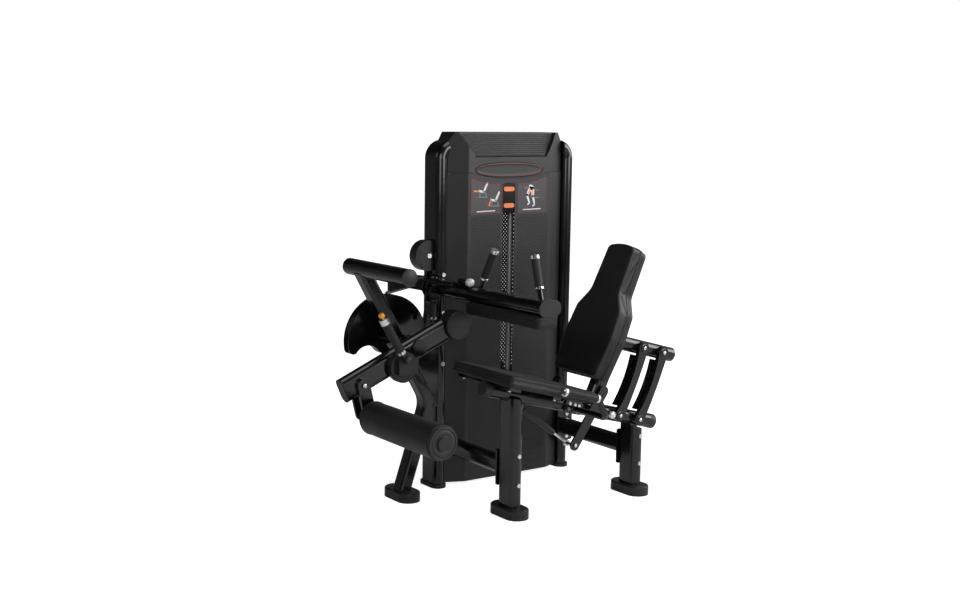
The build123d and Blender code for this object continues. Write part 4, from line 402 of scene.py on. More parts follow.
class Bag:
    """Collects loose solids into one mesh."""
    def __init__(self):
        self.v, self.f = [], []

    def add(self, verts, faces):
        b = len(self.v)
        self.v += [Vector(v) for v in verts]
        self.f += [tuple(i + b for i in f) for f in faces]

    def tube(self, pts, r, seg=10, closed=False, caps=True, radii=None):
        pts = [Vector(p) for p in pts]
        n = len(pts)
        tang = []
        for i in range(n):
            a = pts[(i - 1) % n] if closed or i > 0 else pts[i]
            b = pts[(i + 1) % n] if closed or i < n - 1 else pts[i]
            tang.append((b - a).normalized())
        u = tang[0].orthogonal().normalized()
        verts, rings = [], []
        for i in range(n):
            u = (u - tang[i] * u.dot(tang[i])).normalized()
            w = tang[i].cross(u)
            rr = radii[i] if radii else r
            ring = []
            for k in range(seg):
                a = 2 * math.pi * k / seg
                ring.append(len(verts))
                verts.append(pts[i] + (u * math.cos(a) + w * math.sin(a)) * rr)
            rings.append(ring)
        faces = []
        m = n if closed else n - 1
        for i in range(m):
            A, B = rings[i], rings[(i + 1) % n]
            off = 0
            if closed and i == n - 1:
                # line the seam up with the nearest start vertex
                off = min(range(seg), key=lambda k: (verts[A[0]] - verts[B[k]]).length)
            for k in range(seg):
                faces.append((A[k], A[(k + 1) % seg], B[(k + 1 + off) % seg], B[(k + off) % seg]))
        if caps and not closed:
            faces.append(tuple(reversed(rings[0])))
            faces.append(tuple(rings[-1]))
        self.add(verts, faces)

    def lathe(self, prof, origin, axis, seg=48, ref=None):
        # prof: (radius, height along axis) pairs; radius 0 closes to a point
        ax = Vector(axis).normalized()
        u = Vector(ref).normalized() if ref is not None else ax.orthogonal().normalized()
        w = ax.cross(u)
        o = Vector(origin)
        verts, rings = [], []
        for r, h in prof:
            if r < 1e-7:
                rings.append([len(verts)])
                verts.append(o + ax * h)
            else:
                ring = []
                for k in range(seg):
                    a = 2 * math.pi * k / seg
                    ring.append(len(verts))
                    verts.append(o + ax * h + (u * math.cos(a) + w * math.sin(a)) * r)
                rings.append(ring)
        faces = []
        for A, B in zip(rings, rings[1:]):
            if len(A) == 1 and len(B) == 1:
                continue
            for k in range(seg):
                a0, a1 = (A[0], A[0]) if len(A) == 1 else (A[k], A[(k + 1) % seg])
                b0, b1 = (B[0], B[0]) if len(B) == 1 else (B[k], B[(k + 1) % seg])
                f = [a0, a1, b1, b0]
                g = []
                for q in f:
                    if q not in g:
                        g.append(q)
                faces.append(tuple(g))
        self.add(verts, faces)

    def prism(self, poly, to, depth):
        # poly: 2-D points, to: function from (u, v, d) to a point, depth: thickness
        n = len(poly)
        verts = [to(u, v, 0) for u, v in poly] + [to(u, v, depth) for u, v in poly]
        faces = [tuple(range(n)), tuple(reversed(range(n, 2 * n)))]
        for i in range(n):
            j = (i + 1) % n
            faces.append((i, j, n + j, n + i))
        self.add(verts, faces)

    def done(self, name, mat, body, smooth=True, slot=None, angle=35.0):
        return make(name, self.v, self.f, mat, body, smooth, angle)


def loops_at(obj, co, no):
    """closed outlines of obj cut by a plane, longest first"""
    bm = bmesh.new()
    bm.from_mesh(obj.data)
    geom = bm.verts[:] + bm.edges[:] + bm.faces[:]
    r = bmesh.ops.bisect_plane(bm, geom=geom, plane_co=co, plane_no=no, dist=1e-6)
    edges = [e for e in r["geom_cut"] if isinstance(e, bmesh.types.BMEdge)]
    near = {}
    for e in edges:
        a, b = e.verts
        near.setdefault(a, []).append(b)
        near.setdefault(b, []).append(a)
    out, seen = [], set()
    for s in near:
        if s in seen:
            continue
        loop, prev, cur = [], None, s
        while cur is not None and cur not in seen:
            seen.add(cur)
            loop.append(cur.co.copy())
            nxt = [q for q in near[cur] if q is not prev and q not in seen]
            prev, cur = cur, (nxt[0] if nxt else None)
        if len(loop) > 8:
            out.append(loop)
    bm.free()
    out.sort(key=lambda l: -sum((l[i] - l[i - 1]).length for i in range(len(l))))
    return out


def resample(loop, step, smooth=2):
    pts = [Vector(p) for p in loop]
    for _ in range(smooth):
        pts = [(pts[i - 1] + pts[i] * 2 + pts[(i + 1) % len(pts)]) / 4 for i in range(len(pts))]
    seg = [(pts[(i + 1) % len(pts)] - pts[i]).length for i in range(len(pts))]
    total = sum(seg)
    n = max(12, int(total / step))
    out, i, acc = [], 0, 0.0
    for k in range(n):
        t = total * k / n
        while acc + seg[i] < t:
            acc += seg[i]
            i = (i + 1) % len(pts)
        out.append(pts[i].lerp(pts[(i + 1) % len(pts)], (t - acc) / max(seg[i], 1e-9)))
    return out


def offset_loop(loop, plane_no, d):
    no = Vector(plane_no).normalized()
    c = sum(loop, Vector()) / len(loop)
    n = len(loop)
    out = []
    for i in range(n):
        t = (loop[(i + 1) % n] - loop[i - 1]).normalized()
        s = t.cross(no).normalized()
        out.append((s, loop[i]))
    area = sum((loop[i] - c).cross(loop[(i + 1) % n] - c).dot(no) for i in range(n))
    sign = 1 if area > 0 else -1
    return [p + s * d * sign for s, p in out]


def piping(name, obj, co, no, body, r=0.0016, out=0.0002, mat="piping"):
    loops = loops_at(obj, co, no)
    if not loops:
        return None
    l = offset_loop(resample(loops[0], 0.006), no, out)
    b = Bag()
    b.tube(l, r, seg=8, closed=True)
    o = b.done(name, mat, body, slot="vinyl", angle=80)
    return o


def stitches(name, obj, co, no, body, pitch=0.0062, length=0.004, r=0.00055, out=0.0001):
    loops = loops_at(obj, co, no)
    if not loops:
        return None
    l = offset_loop(resample(loops[0], pitch), no, out)
    b = Bag()
    n = len(l)
    for i in range(n):
        t = (l[(i + 1) % n] - l[i]).normalized()
        a = l[i] + t * ((pitch - length) / 2)
        q = a + t * length
        b.tube([a, a + t * length * 0.2, q - t * length * 0.2, q], r, seg=5, radii=[r * 0.4, r, r, r * 0.4])
    return b.done(name, "thread", body, slot="vinyl", angle=80)


def rnd_rect(w, h, r, n=6):
    pts = []
    for cx, cy, a0 in ((w / 2 - r, h / 2 - r, 0), (-w / 2 + r, h / 2 - r, 90), (-w / 2 + r, -h / 2 + r, 180), (w / 2 - r, -h / 2 + r, 270)):
        for k in range(n + 1):
            a = math.radians(a0 + 90 * k / n)
            pts.append((cx + r * math.cos(a), cy + r * math.sin(a)))
    return pts


# ---------------------------------------------------------------- soft pads
def cloth_pad(node, name, body, up, base_h, voxel=0.0045, shrink=0.0012, cap=0.003, pressure=4.0, grow=0.001, soft=0.01):
    src = NODES[node]
    me = src.data.copy()
    me.name = name
    o = bpy.data.objects.new(name, me)
    bpy.context.scene.collection.objects.link(o)
    me.materials.clear()
    bpy.context.view_layer.objects.active = o
    for q in bpy.context.selected_objects:
        q.select_set(False)
    o.select_set(True)
    rm = o.modifiers.new("remesh", "REMESH")
    rm.mode, rm.voxel_size, rm.use_smooth_shade = "VOXEL", voxel, True
    bpy.ops.object.modifier_apply(modifier="remesh")
    me = o.data
    upv = Vector(up).normalized()
    n = len(me.vertices)
    rest = np.zeros(n * 3)
    me.vertices.foreach_get("co", rest)
    rest = rest.reshape(-1, 3)
    nor = np.array([v.normal[:] for v in me.vertices])
    h = rest @ np.array(upv)
    w = np.clip((h - base_h) / soft, 0, 1)
    w = (w * w * (3 - 2 * w))[:, None]
    start = rest - nor * shrink * w
    me.vertices.foreach_set("co", start.ravel())
    me.update()
    cl = o.modifiers.new("cloth", "CLOTH")
    s = cl.settings
    s.use_pressure, s.uniform_pressure_force = True, pressure
    s.effector_weights.gravity = 0.0
    s.quality = 5
    s.tension_stiffness = s.compression_stiffness = 18.0
    s.shear_stiffness = 6.0
    s.bending_stiffness = 0.6
    s.mass = 0.3
    vg = o.vertex_groups.new(name="hold")
    fixed = [int(i) for i in np.nonzero(w[:, 0] < 0.02)[0]]
    vg.add(fixed, 1.0, "REPLACE")
    s.vertex_group_mass = "hold"
    cl.point_cache.frame_start, cl.point_cache.frame_end = 1, 20
    sc = bpy.context.scene
    sc.frame_start, sc.frame_end = 1, 20
    for f in range(1, 21):
        sc.frame_set(f)
    dg = bpy.context.evaluated_depsgraph_get()
    ev = o.evaluated_get(dg)
    moved = np.zeros(n * 3)
    ev.data.vertices.foreach_get("co", moved)
    moved = moved.reshape(-1, 3)
    o.modifiers.remove(cl)
    o.vertex_groups.clear()
    sc.frame_set(1)
    d = moved - start
    L = np.linalg.norm(d, axis=1, keepdims=True)
    d = d * np.minimum(1.0, cap / np.maximum(L, 1e-9))
    co = start + d * w
    # never further out than the pad's own solid plus a little
    off = co - rest
    outw = (off * nor).sum(1, keepdims=True)
    co = co - nor * np.maximum(outw - grow, 0) * 1.0
    me.vertices.foreach_set("co", co.ravel())
    me.update()
    bm = bmesh.new()
    bm.from_mesh(me)
    for _ in range(1):
        bmesh.ops.smooth_vert(bm, verts=[v for v in bm.verts], factor=0.4, use_axis_x=True, use_axis_y=True, use_axis_z=True)
    bm.to_mesh(me)
    bm.free()
    me.materials.append(M["vinyl"])
    me.shade_smooth()
    sub = o.modifiers.new("sub", "SUBSURF")
    sub.levels = sub.render_levels = 1
    bpy.ops.object.modifier_apply(modifier="sub")
    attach(o, body)
    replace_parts(o, node)
    return o


INCL = math.radians(15.1)
SI, CI = math.sin(INCL), math.cos(INCL)
seat_up = Vector((SI, 0, CI))
back_a = math.radians(25.6)
back_n = Vector((-math.cos(back_a), 0, math.sin(back_a)))


def ext(node, up):
    """lowest and highest coordinate of a node along a direction"""
    co = np.array([v.co[:] for v in NODES[node].data.vertices]) @ np.array(up)
    return float(co.min()), float(co.max())


s_lo, s_hi = ext("seat_pad", seat_up)
b_lo, b_hi = ext("backrest_pad", back_n)
seat = cloth_pad("seat_pad", "seat_cushion", "frame", seat_up, s_lo + 0.016, cap=0.0022)
back = cloth_pad("backrest_pad", "back_cushion", "back", back_n, b_lo + 0.016, cap=0.0022)
thigh = cloth_pad("thigh_pad", "thigh_cushion", "thigh_beam", Vector((0, 0, -1)), ext("thigh_pad", (0, 0, -1))[0] + 0.006, voxel=0.0045, cap=0.0016)

sc0 = sum((Vector(c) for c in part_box("seat_pad")), Vector()) / 2
for i, (dh, kind) in enumerate(((0.030, "pipe"), (0.0335, "stitch"))):
    co = seat_up * (s_hi - dh)
    if kind == "pipe":
        piping(f"seat_piping_{i}", seat, co, seat_up, "frame")
    else:
        stitches(f"seat_stitches_{i}", seat, co, seat_up, "frame")
for i, (dh, kind) in enumerate(((0.046, "pipe"), (0.0495, "stitch"))):
    co = back_n * (b_hi - dh)
    if kind == "pipe":
        piping(f"back_piping_{i}", back, co, back_n, "back")
    else:
        stitches(f"back_stitches_{i}", back, co, back_n, "back")
t_lo, t_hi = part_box("thigh_pad")
for i, (yy, kind) in enumerate(((t_lo.y + 0.014, "pipe"), (t_lo.y + 0.018, "stitch"), (t_hi.y - 0.014, "pipe"), (t_hi.y - 0.018, "stitch"))):
    f = piping if kind == "pipe" else stitches
    f(f"thigh_{kind}_{i}", thigh, Vector((0, yy, 0)), Vector((0, 1, 0)), "thigh_beam")

# roller: foam under a sewn vinyl sleeve, drawn in at both ends, with a moulded end cap
r_lo, r_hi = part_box("roller_pad")
rc = (r_lo + r_hi) / 2
R = (r_hi.z - r_lo.z) / 2
L = (r_hi.y - r_lo.y) / 2
prof = []
bore = 0.0202
prof.append((bore, -L + 0.001))
for k in range(13):
    a = math.radians(90 * k / 12)
    prof.append((R - 0.016 + 0.016 * math.sin(a), -L + 0.001 + 0.012 * (1 - math.cos(a))))
N = 60
for k in range(1, N):
    t = -1 + 2 * k / N
    y = t * (L - 0.013)
    crown = -0.0009 * (abs(t) ** 6)
    prof.append((R + crown, y))
for k in range(13):
    a = math.radians(90 - 90 * k / 12)
    prof.append((R - 0.016 + 0.016 * math.sin(a), L - 0.001 - 0.012 * (1 - math.cos(a))))
prof.append((bore, L - 0.001))
b = Bag()
b.lathe(prof + [prof[0]], rc, (0, 1, 0), seg=96)
roll = b.done("roller_cushion", "vinyl", "roller", slot="vinyl", angle=60)
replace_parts(roll, "roller_pad")
for i, y in enumerate((-L + 0.0125, L - 0.0125)):
    b = Bag()
    b.tube([rc + Vector((math.cos(2 * math.pi * k / 96) * (R + 0.0001), y, math.sin(2 * math.pi * k / 96) * (R + 0.0001))) for k in range(96)], 0.0015, seg=8, closed=True)
    b.done(f"roller_piping_{i}", "piping", "roller", slot="vinyl", angle=80)
# moulded end caps with rings
c_lo, c_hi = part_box("roller_core")
for i, s in enumerate((-1, 1)):
    b = Bag()
    yb = L - 0.0008
    top = (c_hi.y - c_lo.y) / 2
    pr = [(0.0125, yb), (0.0585, yb), (0.0600, yb + 0.0008), (0.0605, yb + 0.0026), (0.0595, yb + 0.0044), (0.0560, yb + 0.0052), (0.0530, yb + 0.0046),
          (0.0518, yb + 0.0022), (0.0505, yb + 0.0022), (0.0492, yb + 0.0040), (0.0470, yb + 0.0050), (0.0300, yb + 0.0056), (0.0286, yb + 0.0046), (0.0272, yb + 0.0056),
          (0.0240, yb + 0.0062), (0.0125, yb + 0.0062)]
    pr = [(r, s * h) for r, h in pr]
    b.lathe(pr + [pr[0]], Vector((rc.x, (c_lo.y + c_hi.y) / 2, rc.z)), (0, 1, 0), seg=72)
    cap_o = b.done(f"roller_cap_{i}", "cap_plastic", "roller", slot="black_plastic", angle=40)
    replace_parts(cap_o, "roller_core") if i == 0 else None
b = Bag()
pr = [(0.01215, c_lo.y - rc.y), (0.0198, c_lo.y - rc.y), (0.0198, c_hi.y - rc.y), (0.01215, c_hi.y - rc.y)]
b.lathe(pr + [pr[0]], rc, (0, 1, 0), seg=40)
b.done("roller_sleeve", "black_plastic", "roller", slot="black_plastic")

# ---------------------------------------------------------------- hood: ribbed brow and badge
b = Bag()
f_lo, f_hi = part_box("front_cover")
face_y = (f_lo.y) * 1000 + OY          # outer face of the middle facet
def brow(z):
    return 466.0 + (z - 1402.0) * 0.21   # depth of the sloped recess
for k in range(10):
    z = 1408.5 + k * 8.8
    xl = 134 + (z - 1396) * (58 - 134) / 106.0 + 13
    xr = 508 + (z - 1396) * (566 - 508) / 106.0 - 13
    y = brow(z)
    hgt, dep = 6.0, 2.2
    sec = [(-hgt / 2, 0.4), (-hgt / 2 + 0.5, -dep * 0.75), (-hgt / 4, -dep), (hgt / 4, -dep), (hgt / 2 - 0.5, -dep * 0.75), (hgt / 2, 0.4)]
    verts = []
    for x, f in ((xl, 0.2), (xl + 2.5, 0.85), (xl + 5, 1.0), (xr - 5, 1.0), (xr - 2.5, 0.85), (xr, 0.2)):
        for dz, dy in sec:
            verts.append(P(x, y + (dz * 0.21) + (dy if dy > 0 else dy * f), z + dz * (0.9 + 0.1 * f)))
    m = len(sec)
    faces = []
    for i in range(5):
        for j in range(m):
            a, c = i * m + j, i * m + (j + 1) % m
            faces.append((a, c, c + m, a + m))
    faces.append(tuple(range(m)))
    faces.append(tuple(reversed(range(5 * m, 6 * m))))
    b.add(verts, faces)
b.done("brow_ribs", "rib_grey", "frame", slot="hood_grey", angle=30)
b = Bag()
vs = []
for z in (1402.5, 1494.5):
    xl = 134 + (z - 1396) * (58 - 134) / 106.0 + 15
    xr = 508 + (z - 1396) * (566 - 508) / 106.0 - 15
    vs += [P(xl, brow(z) - 0.15, z), P(xr, brow(z) - 0.15, z)]
vs += [v + Vector((0, 0.0006, 0)) for v in vs]
b.add(vs, [(0, 1, 3, 2), (4, 6, 7, 5), (0, 4, 5, 1), (2, 3, 7, 6), (0, 2, 6, 4), (1, 5, 7, 3)])
b.done("brow_back", "window_black", "frame", slot="hood_grey", smooth=False)


def ring2(rx, rz, n=96):
    return [(rx * math.cos(2 * math.pi * k / n), rz * math.sin(2 * math.pi * k / n)) for k in range(n)]


def superellipse(rx, rz, p, n=120):
    out = []
    for k in range(n):
        a = 2 * math.pi * k / n
        c, s = math.cos(a), math.sin(a)
        out.append((rx * math.copysign(abs(c) ** (2 / p), c), rz * math.copysign(abs(s) ** (2 / p), s)))
    return out


# badge: a shallow raised oval with a red line round it, left bare
BX, BZ = 311.5, 1343.0
b = Bag()
outline = superellipse(176, 31.0, 2.25)
n = len(outline)
levels = [(1.0, 0.4), (0.995, -0.5), (0.982, -1.1), (0.965, -1.3), (0.955, -1.0), (0.945, -0.6), (0.9, -0.5), (0.5, -0.5)]
verts = []
for f, d in levels:
    k = 176 * (1 - f)
    for x, z in superellipse(176 - k, max(31.0 - k, 2.0), 2.25):
        verts.append(P(BX + x, face_y + d, BZ + z))
faces = []
for i in range(len(levels) - 1):
    for j in range(n):
        a, c = i * n + j, i * n + (j + 1) % n
        faces.append((a, c, c + n, a + n))
faces.append(tuple(range((len(levels) - 1) * n, len(levels) * n)))
b.add(verts, faces)
b.done("badge_plate", "hood_grey", "frame", slot="hood_grey", angle=50)
b = Bag()
b.tube([P(BX + x, face_y - 0.9, BZ + z) for x, z in superellipse(170, 26.5, 2.25)], 0.0012, seg=8, closed=True)
b.done("badge_line", "line_red", "frame", slot="orange", angle=80)
b = Bag()
b.tube([P(BX + x, face_y - 0.1, BZ + z) for x, z in superellipse(177.5, 32.5, 2.25)], 0.0011, seg=8, closed=True)
b.done("badge_groove", "window_black", "frame", slot="black_plastic", angle=80)

# instruction stickers: red outline, generic drawings of a seat and of a leg
def outline_tube(bag, pts, r, y):
    bag.tube([P(x, y, z) for x, z in pts], r, seg=6, closed=True)


def dense(pts, step=6.0):
    out = []
    for i in range(len(pts)):
        a, c = pts[i], pts[(i + 1) % len(pts)]
        d = math.hypot(c[0] - a[0], c[1] - a[1])
        k = max(1, int(d / step))
        for q in range(k):
            t = q / k
            out.append((a[0] + (c[0] - a[0]) * t, a[1] + (c[1] - a[1]) * t))
    return out


def arc_top(x0, z0, x1, z1, sag, n=14):
    return [(x0 + (x1 - x0) * t, z0 + (z1 - z0) * t - sag * math.sin(math.pi * t)) for t in [k / n for k in range(n + 1)]]


SL_T = arc_top(113, 1309, 266, 1283.5, 9)
SR_T = arc_top(354, 1283.5, 509, 1309, 9)
sl = SL_T + [(266, 1163), (113, 1159)]
sr = SR_T + [(512, 1162), (356, 1160)]
b = Bag()
outline_tube(b, dense(sl), 0.0011, face_y - 0.35)
outline_tube(b, dense(sr), 0.0011, face_y - 0.35)
b.done("sticker_lines", "line_red", "frame", slot="orange", angle=80)
b = Bag()
for pts in (sl, sr):
    cx = sum(p[0] for p in pts) / len(pts)
    cz = sum(p[1] for p in pts) / len(pts)
    inner = [(cx + (x - cx) * 0.985, cz + (z - cz) * 0.985) for x, z in pts]
    b.prism(inner, lambda u, v, d: P(u, face_y - 0.02 - d, v), 0.14)
b.done("sticker_films", plastic("sticker_film", (0.036, 0.036, 0.037), (0.046, 0.046, 0.047), rough=(0.3, 0.38), depth=0.05, bevel=0), "frame", slot="cover_grey", smooth=False)


def flat(bag, pts, d0=0.15, t=0.12):
    bag.prism(pts, lambda u, v, d: P(u, face_y - d0 - d, v), t)


def capsule(x0, z0, x1, z1, r0, r1=None, n=8):
    r1 = r0 if r1 is None else r1
    a = math.atan2(z1 - z0, x1 - x0)
    pts = []
    for k in range(n + 1):
        q = a + math.pi / 2 + math.pi * k / n
        pts.append((x0 + r0 * math.cos(q), z0 + r0 * math.sin(q)))
    for k in range(n + 1):
        q = a - math.pi / 2 + math.pi * k / n
        pts.append((x1 + r1 * math.cos(q), z1 + r1 * math.sin(q)))
    return pts


def arc_band(cx, cz, r, w, a0, a1, n=16):
    pts = [(cx + (r + w / 2) * math.cos(math.radians(a0 + (a1 - a0) * k / n)), cz + (r + w / 2) * math.sin(math.radians(a0 + (a1 - a0) * k / n))) for k in range(n + 1)]
    pts += [(cx + (r - w / 2) * math.cos(math.radians(a1 - (a1 - a0) * k / n)), cz + (r - w / 2) * math.sin(math.radians(a1 - (a1 - a0) * k / n))) for k in range(n + 1)]
    return pts


W, O_, G_, R_ = Bag(), Bag(), Bag(), Bag()
# two small drawings of the machine: roller down, roller up
for (cx, cz, ang) in ((166, 1260, 175), (228, 1222, 250)):
    flat(W, capsule(cx - 12, cz - 4, cx + 12, cz - 9, 4.6))
    flat(W, capsule(cx + 12, cz - 7, cx + 29, cz + 27, 5.0, 4.2))
    flat(G_, capsule(cx - 8, cz - 12, cx - 8, cz - 30, 1.8))
    flat(G_, capsule(cx + 20, cz - 12, cx + 26, cz - 30, 1.8))
    flat(G_, capsule(cx - 16, cz - 30, cx + 30, cz - 31, 1.5))
    a = math.radians(ang)
    flat(O_, capsule(cx - 14, cz - 6, cx - 14 + 24 * math.cos(a), cz - 6 + 24 * math.sin(a), 3.2))
    flat(R_, arc_band(cx - 14, cz - 6, 27, 2.2, 185, 245))
# a leg drawing: hip, thighs, shins
cx, cz = 427, 1232
flat(W, capsule(cx - 3, cz + 38, cx + 6, cz + 30, 8.5, 10))
flat(W, capsule(cx - 4, cz + 30, cx - 22, cz + 2, 8.5, 6.0))
flat(W, capsule(cx - 22, cz + 2, cx - 8, cz - 32, 6.0, 3.6))
flat(W, capsule(cx + 8, cz + 28, cx + 10, cz - 4, 9.0, 6.4))
flat(W, capsule(cx + 10, cz - 4, cx + 20, cz - 40, 6.0, 3.6))
flat(W, capsule(cx - 10, cz - 35, cx - 16, cz - 38, 3.2))
flat(W, capsule(cx + 19, cz - 42, cx + 11, cz - 45, 3.4))
flat(O_, capsule(cx - 6, cz + 26, cx - 15, cz + 10, 3.6, 2.4), 0.28)
flat(O_, capsule(cx + 9, cz + 24, cx + 10, cz + 4, 4.0, 2.6), 0.28)
flat(G_, capsule(cx + 24, cz + 22, cx + 42, cz + 22, 1.2))
flat(G_, capsule(cx + 24, cz - 10, cx + 44, cz - 10, 1.2))
flat(G_, capsule(cx - 36, cz + 32, cx - 16, cz + 34, 1.2))
# plain bars where captions would be
flat(W, capsule(144, 1169.0, 236, 1171.5, 2.0))
flat(W, capsule(386, 1171.5, 478, 1173.0, 2.0))
W.done("print_white_shapes", "white", "frame", smooth=False, slot="orange")
O_.done("print_orange_shapes", "print_orange", "frame", smooth=False, slot="orange")
G_.done("print_grey_shapes", "print_grey", "frame", smooth=False, slot="orange")
R_.done("print_red_shapes", "line_red", "frame", smooth=False, slot="orange")


# ---------------------------------------------------------------- rear cover with a real perforated field
def perforated(src, name, mat, body, field, px=15.5, pz=8.6, hole=3.0, ys=(597.0, 601.0), normal_sign=1):
    me = src.data.copy()
    me.name = name
    me.materials.clear()
    bm = bmesh.new()
    bm.from_mesh(me)
    bmesh.ops.remove_doubles(bm, verts=bm.verts, dist=1e-6)
    tol = 0.0002
    rects = {}
    for y in ys:
        yy = (y - OY) / 1000
        sel = [f for f in bm.faces if abs(f.normal.y) > 0.999 and all(abs(v.co.y - yy) < tol for v in f.verts)]
        xs = [v.co.x for f in sel for v in f.verts]
        zs = [v.co.z for f in sel for v in f.verts]
        rects[y] = (min(xs), max(xs), min(zs), max(zs))
        bmesh.ops.delete(bm, geom=sel, context="FACES")
    x0, x1, z0, z1 = field
    nx = int((x1 - x0) // px)
    nz = int((z1 - z0) // pz)
    x1 = x0 + nx * px + px / 2       # odd rows are shifted by half a pitch
    z1 = z0 + nz * pz
    cache = {}

    def vert(x, y, z):
        k = (round(x, 3), y, round(z, 3))
        if k not in cache:
            cache[k] = bm.verts.new(P(x, y, z))
        return cache[k]
    for r in range(nz):
        zc = z0 + (r + 0.5) * pz
        sh = 0.0 if r % 2 == 0 else px / 2
        for c in range(nx):
            xl = x0 + sh + c * px
            outer = [(xl, zc - pz / 2), (xl + px / 2, zc - pz / 2), (xl + px, zc - pz / 2), (xl + px, zc + pz / 2), (xl + px / 2, zc + pz / 2), (xl, zc + pz / 2)]
            ctr = (xl + px / 2, zc)
            inner = []
            for ox, oz in outer:
                a = math.atan2(oz - ctr[1], ox - ctr[0])
                inner.append((ctr[0] + hole * math.cos(a), ctr[1] + hole * math.sin(a)))
            rings = {}
            for y in ys:
                rings[y] = ([vert(x, y, z) for x, z in outer], [bm.verts.new(P(x, y, z)) for x, z in inner])
                O, I = rings[y]
                for k in range(6):
                    q = (k + 1) % 6
                    bm.faces.new((O[k], O[q], I[q], I[k]))
            A, B = rings[ys[0]][1], rings[ys[1]][1]
            for k in range(6):
                q = (k + 1) % 6
                bm.faces.new((A[k], A[q], B[q], B[k]))
        # fill the half cell at the row's open end
        for y in ys:
            xe0, xe1 = (x0 + nx * px, x1) if r % 2 == 0 else (x0, x0 + px / 2)
            bm.faces.new((vert(xe0, y, zc - pz / 2), vert(xe1, y, zc - pz / 2), vert(xe1, y, zc + pz / 2), vert(xe0, y, zc + pz / 2)))
    for y in ys:
        a0, a1, c0, c1 = rects[y]
        A0, A1 = a0 * 1000 + OX, a1 * 1000 + OX
        C0, C1 = c0 * 1000, c1 * 1000
        for q in (((A0, C0), (A1, C0), (A1, z0), (A0, z0)), ((A0, z1), (A1, z1), (A1, C1), (A0, C1)), ((A0, z0), (x0, z0), (x0, z1), (A0, z1)), ((x1, z0), (A1, z0), (A1, z1), (x1, z1))):
            bm.faces.new([bm.verts.new(P(x, y, z)) for x, z in q])
    bmesh.ops.remove_doubles(bm, verts=bm.verts, dist=2e-6)
    bmesh.ops.recalc_face_normals(bm, faces=bm.faces)
    bm.to_mesh(me)
    bm.free()
    o = bpy.data.objects.new(name, me)
    bpy.context.scene.collection.objects.link(o)
    me.materials.append(M[mat])
    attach(o, body)
    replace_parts(o, src.name)
    return o


perforated(NODES["rear_cover"], "rear_shell", "rear_grey", "frame", (150, 490, 150, 1185))

# ---------------------------------------------------------------- ferrules, caps, bolt heads
def turned(name, mat, body, prof, o, ax, slot, seg=40, angle=40):
    q = Bag()
    q.lathe([(r / 1000.0, h / 1000.0) for r, h in prof], o, ax, seg=seg)
    return q.done(name, mat, body, slot=slot, angle=angle)


def ring_on(name, o, ax, t0, t1, r, ri, body, closed=False, mat="chrome", slot="chrome"):
    if closed:
        prof = [(0, t0), (r - 0.6, t0), (r, t0 + 0.6), (r, t1 - 1.2), (r - 1.2, t1), (0, t1 + 0.3)]
    else:
        prof = [(ri, t0), (r - 0.6, t0), (r, t0 + 0.6), (r, t1 - 0.6), (r - 0.6, t1), (ri, t1), (ri, t0)]
    return turned(name, mat, body, prof, o, ax, slot)


for i, side in enumerate((-1, 1)):
    v = Vector((0.127, -side * 0.447, 1)).normalized()
    o = P(-17, side * 199, 884)
    ring_on(f"beam_ferrule_low_{i}", o, v, 43.6, 52.4, 17.4, 9.6, "thigh_beam")
    ring_on(f"beam_ferrule_top_{i}", o, v, 163.6, 178.4, 17.4, 0, "thigh_beam", closed=True)
ha = math.atan2(179.0, -105.0)
hv = Vector((math.cos(ha), 0, math.sin(ha)))
ho = P(-368.9, 204.0, 634.8)
ring_on("start_ferrule_low", ho, hv, 21.7, 34.3, 18.9, 8.8, "lever")
ring_on("start_ferrule_top", ho, hv, 163.7, 188.3, 18.9, 5.4, "lever")
turned("start_foot", "cap_plastic", "lever", [(0, 188.4), (14.5, 188.4), (16.6, 190), (16.6, 218), (0, 218)], P(-351.0, 0, 626.0), (0, 1, 0), "black_plastic")
for i, sg in enumerate((-1, 1)):
    for j, (s0, s1) in enumerate(((45.6, 57.4), (213.6, 223.4))):
        c = P(s0 * CI + 60 * SI, sg * 250.0, 490.7 - s0 * SI + 60 * CI)
        if j == 0:
            prof = [(0, -0.6), (15.8, -0.4), (17.2, 0.8), (17.4, 2.0), (17.4, s1 - s0 - 0.6), (16.8, s1 - s0), (12.3, s1 - s0), (12.3, 0.6), (0, 0.5)]
        else:
            prof = [(12.3, 0), (16.8, 0), (17.4, 0.6), (17.4, s1 - s0 - 0.6), (16.8, s1 - s0), (12.3, s1 - s0), (12.3, 0)]
        turned(f"seat_collar_{i}{j}", "chrome", "frame", prof, c, (CI, 0, -SI), "chrome")
ring_on("lock_ferrule", P(-84.0, 440.0, 0), Vector((0, 0, 1)), 733.7, 743.3, 17.0, 8.6, "lock_handle")

# round pull knobs
turned("beam_knob_dome", "knob", "beam_knob", [(0, -1.0), (9.0, -0.8), (14.5, 2.0), (16.9, 7.5), (17.2, 12.5), (15.4, 18.5), (11.0, 22.8), (5.5, 24.9), (0, 25.4)], P(-44.0, 240.6, 907.0), (0, -1, 0), "chrome", angle=80)
turned("pop_pin_dome", "knob", "pop_pin", [(0, -0.8), (11.0, -0.5), (15.4, 2.0), (16.0, 6.0), (15.2, 10.5), (12.0, 14.2), (6.5, 16.2), (0, 16.8)], P(494.0 * CI - 3.0 * SI, -49.0, 490.7 - 494.0 * SI - 3.0 * CI), (0, -1, 0), "chrome", angle=80)

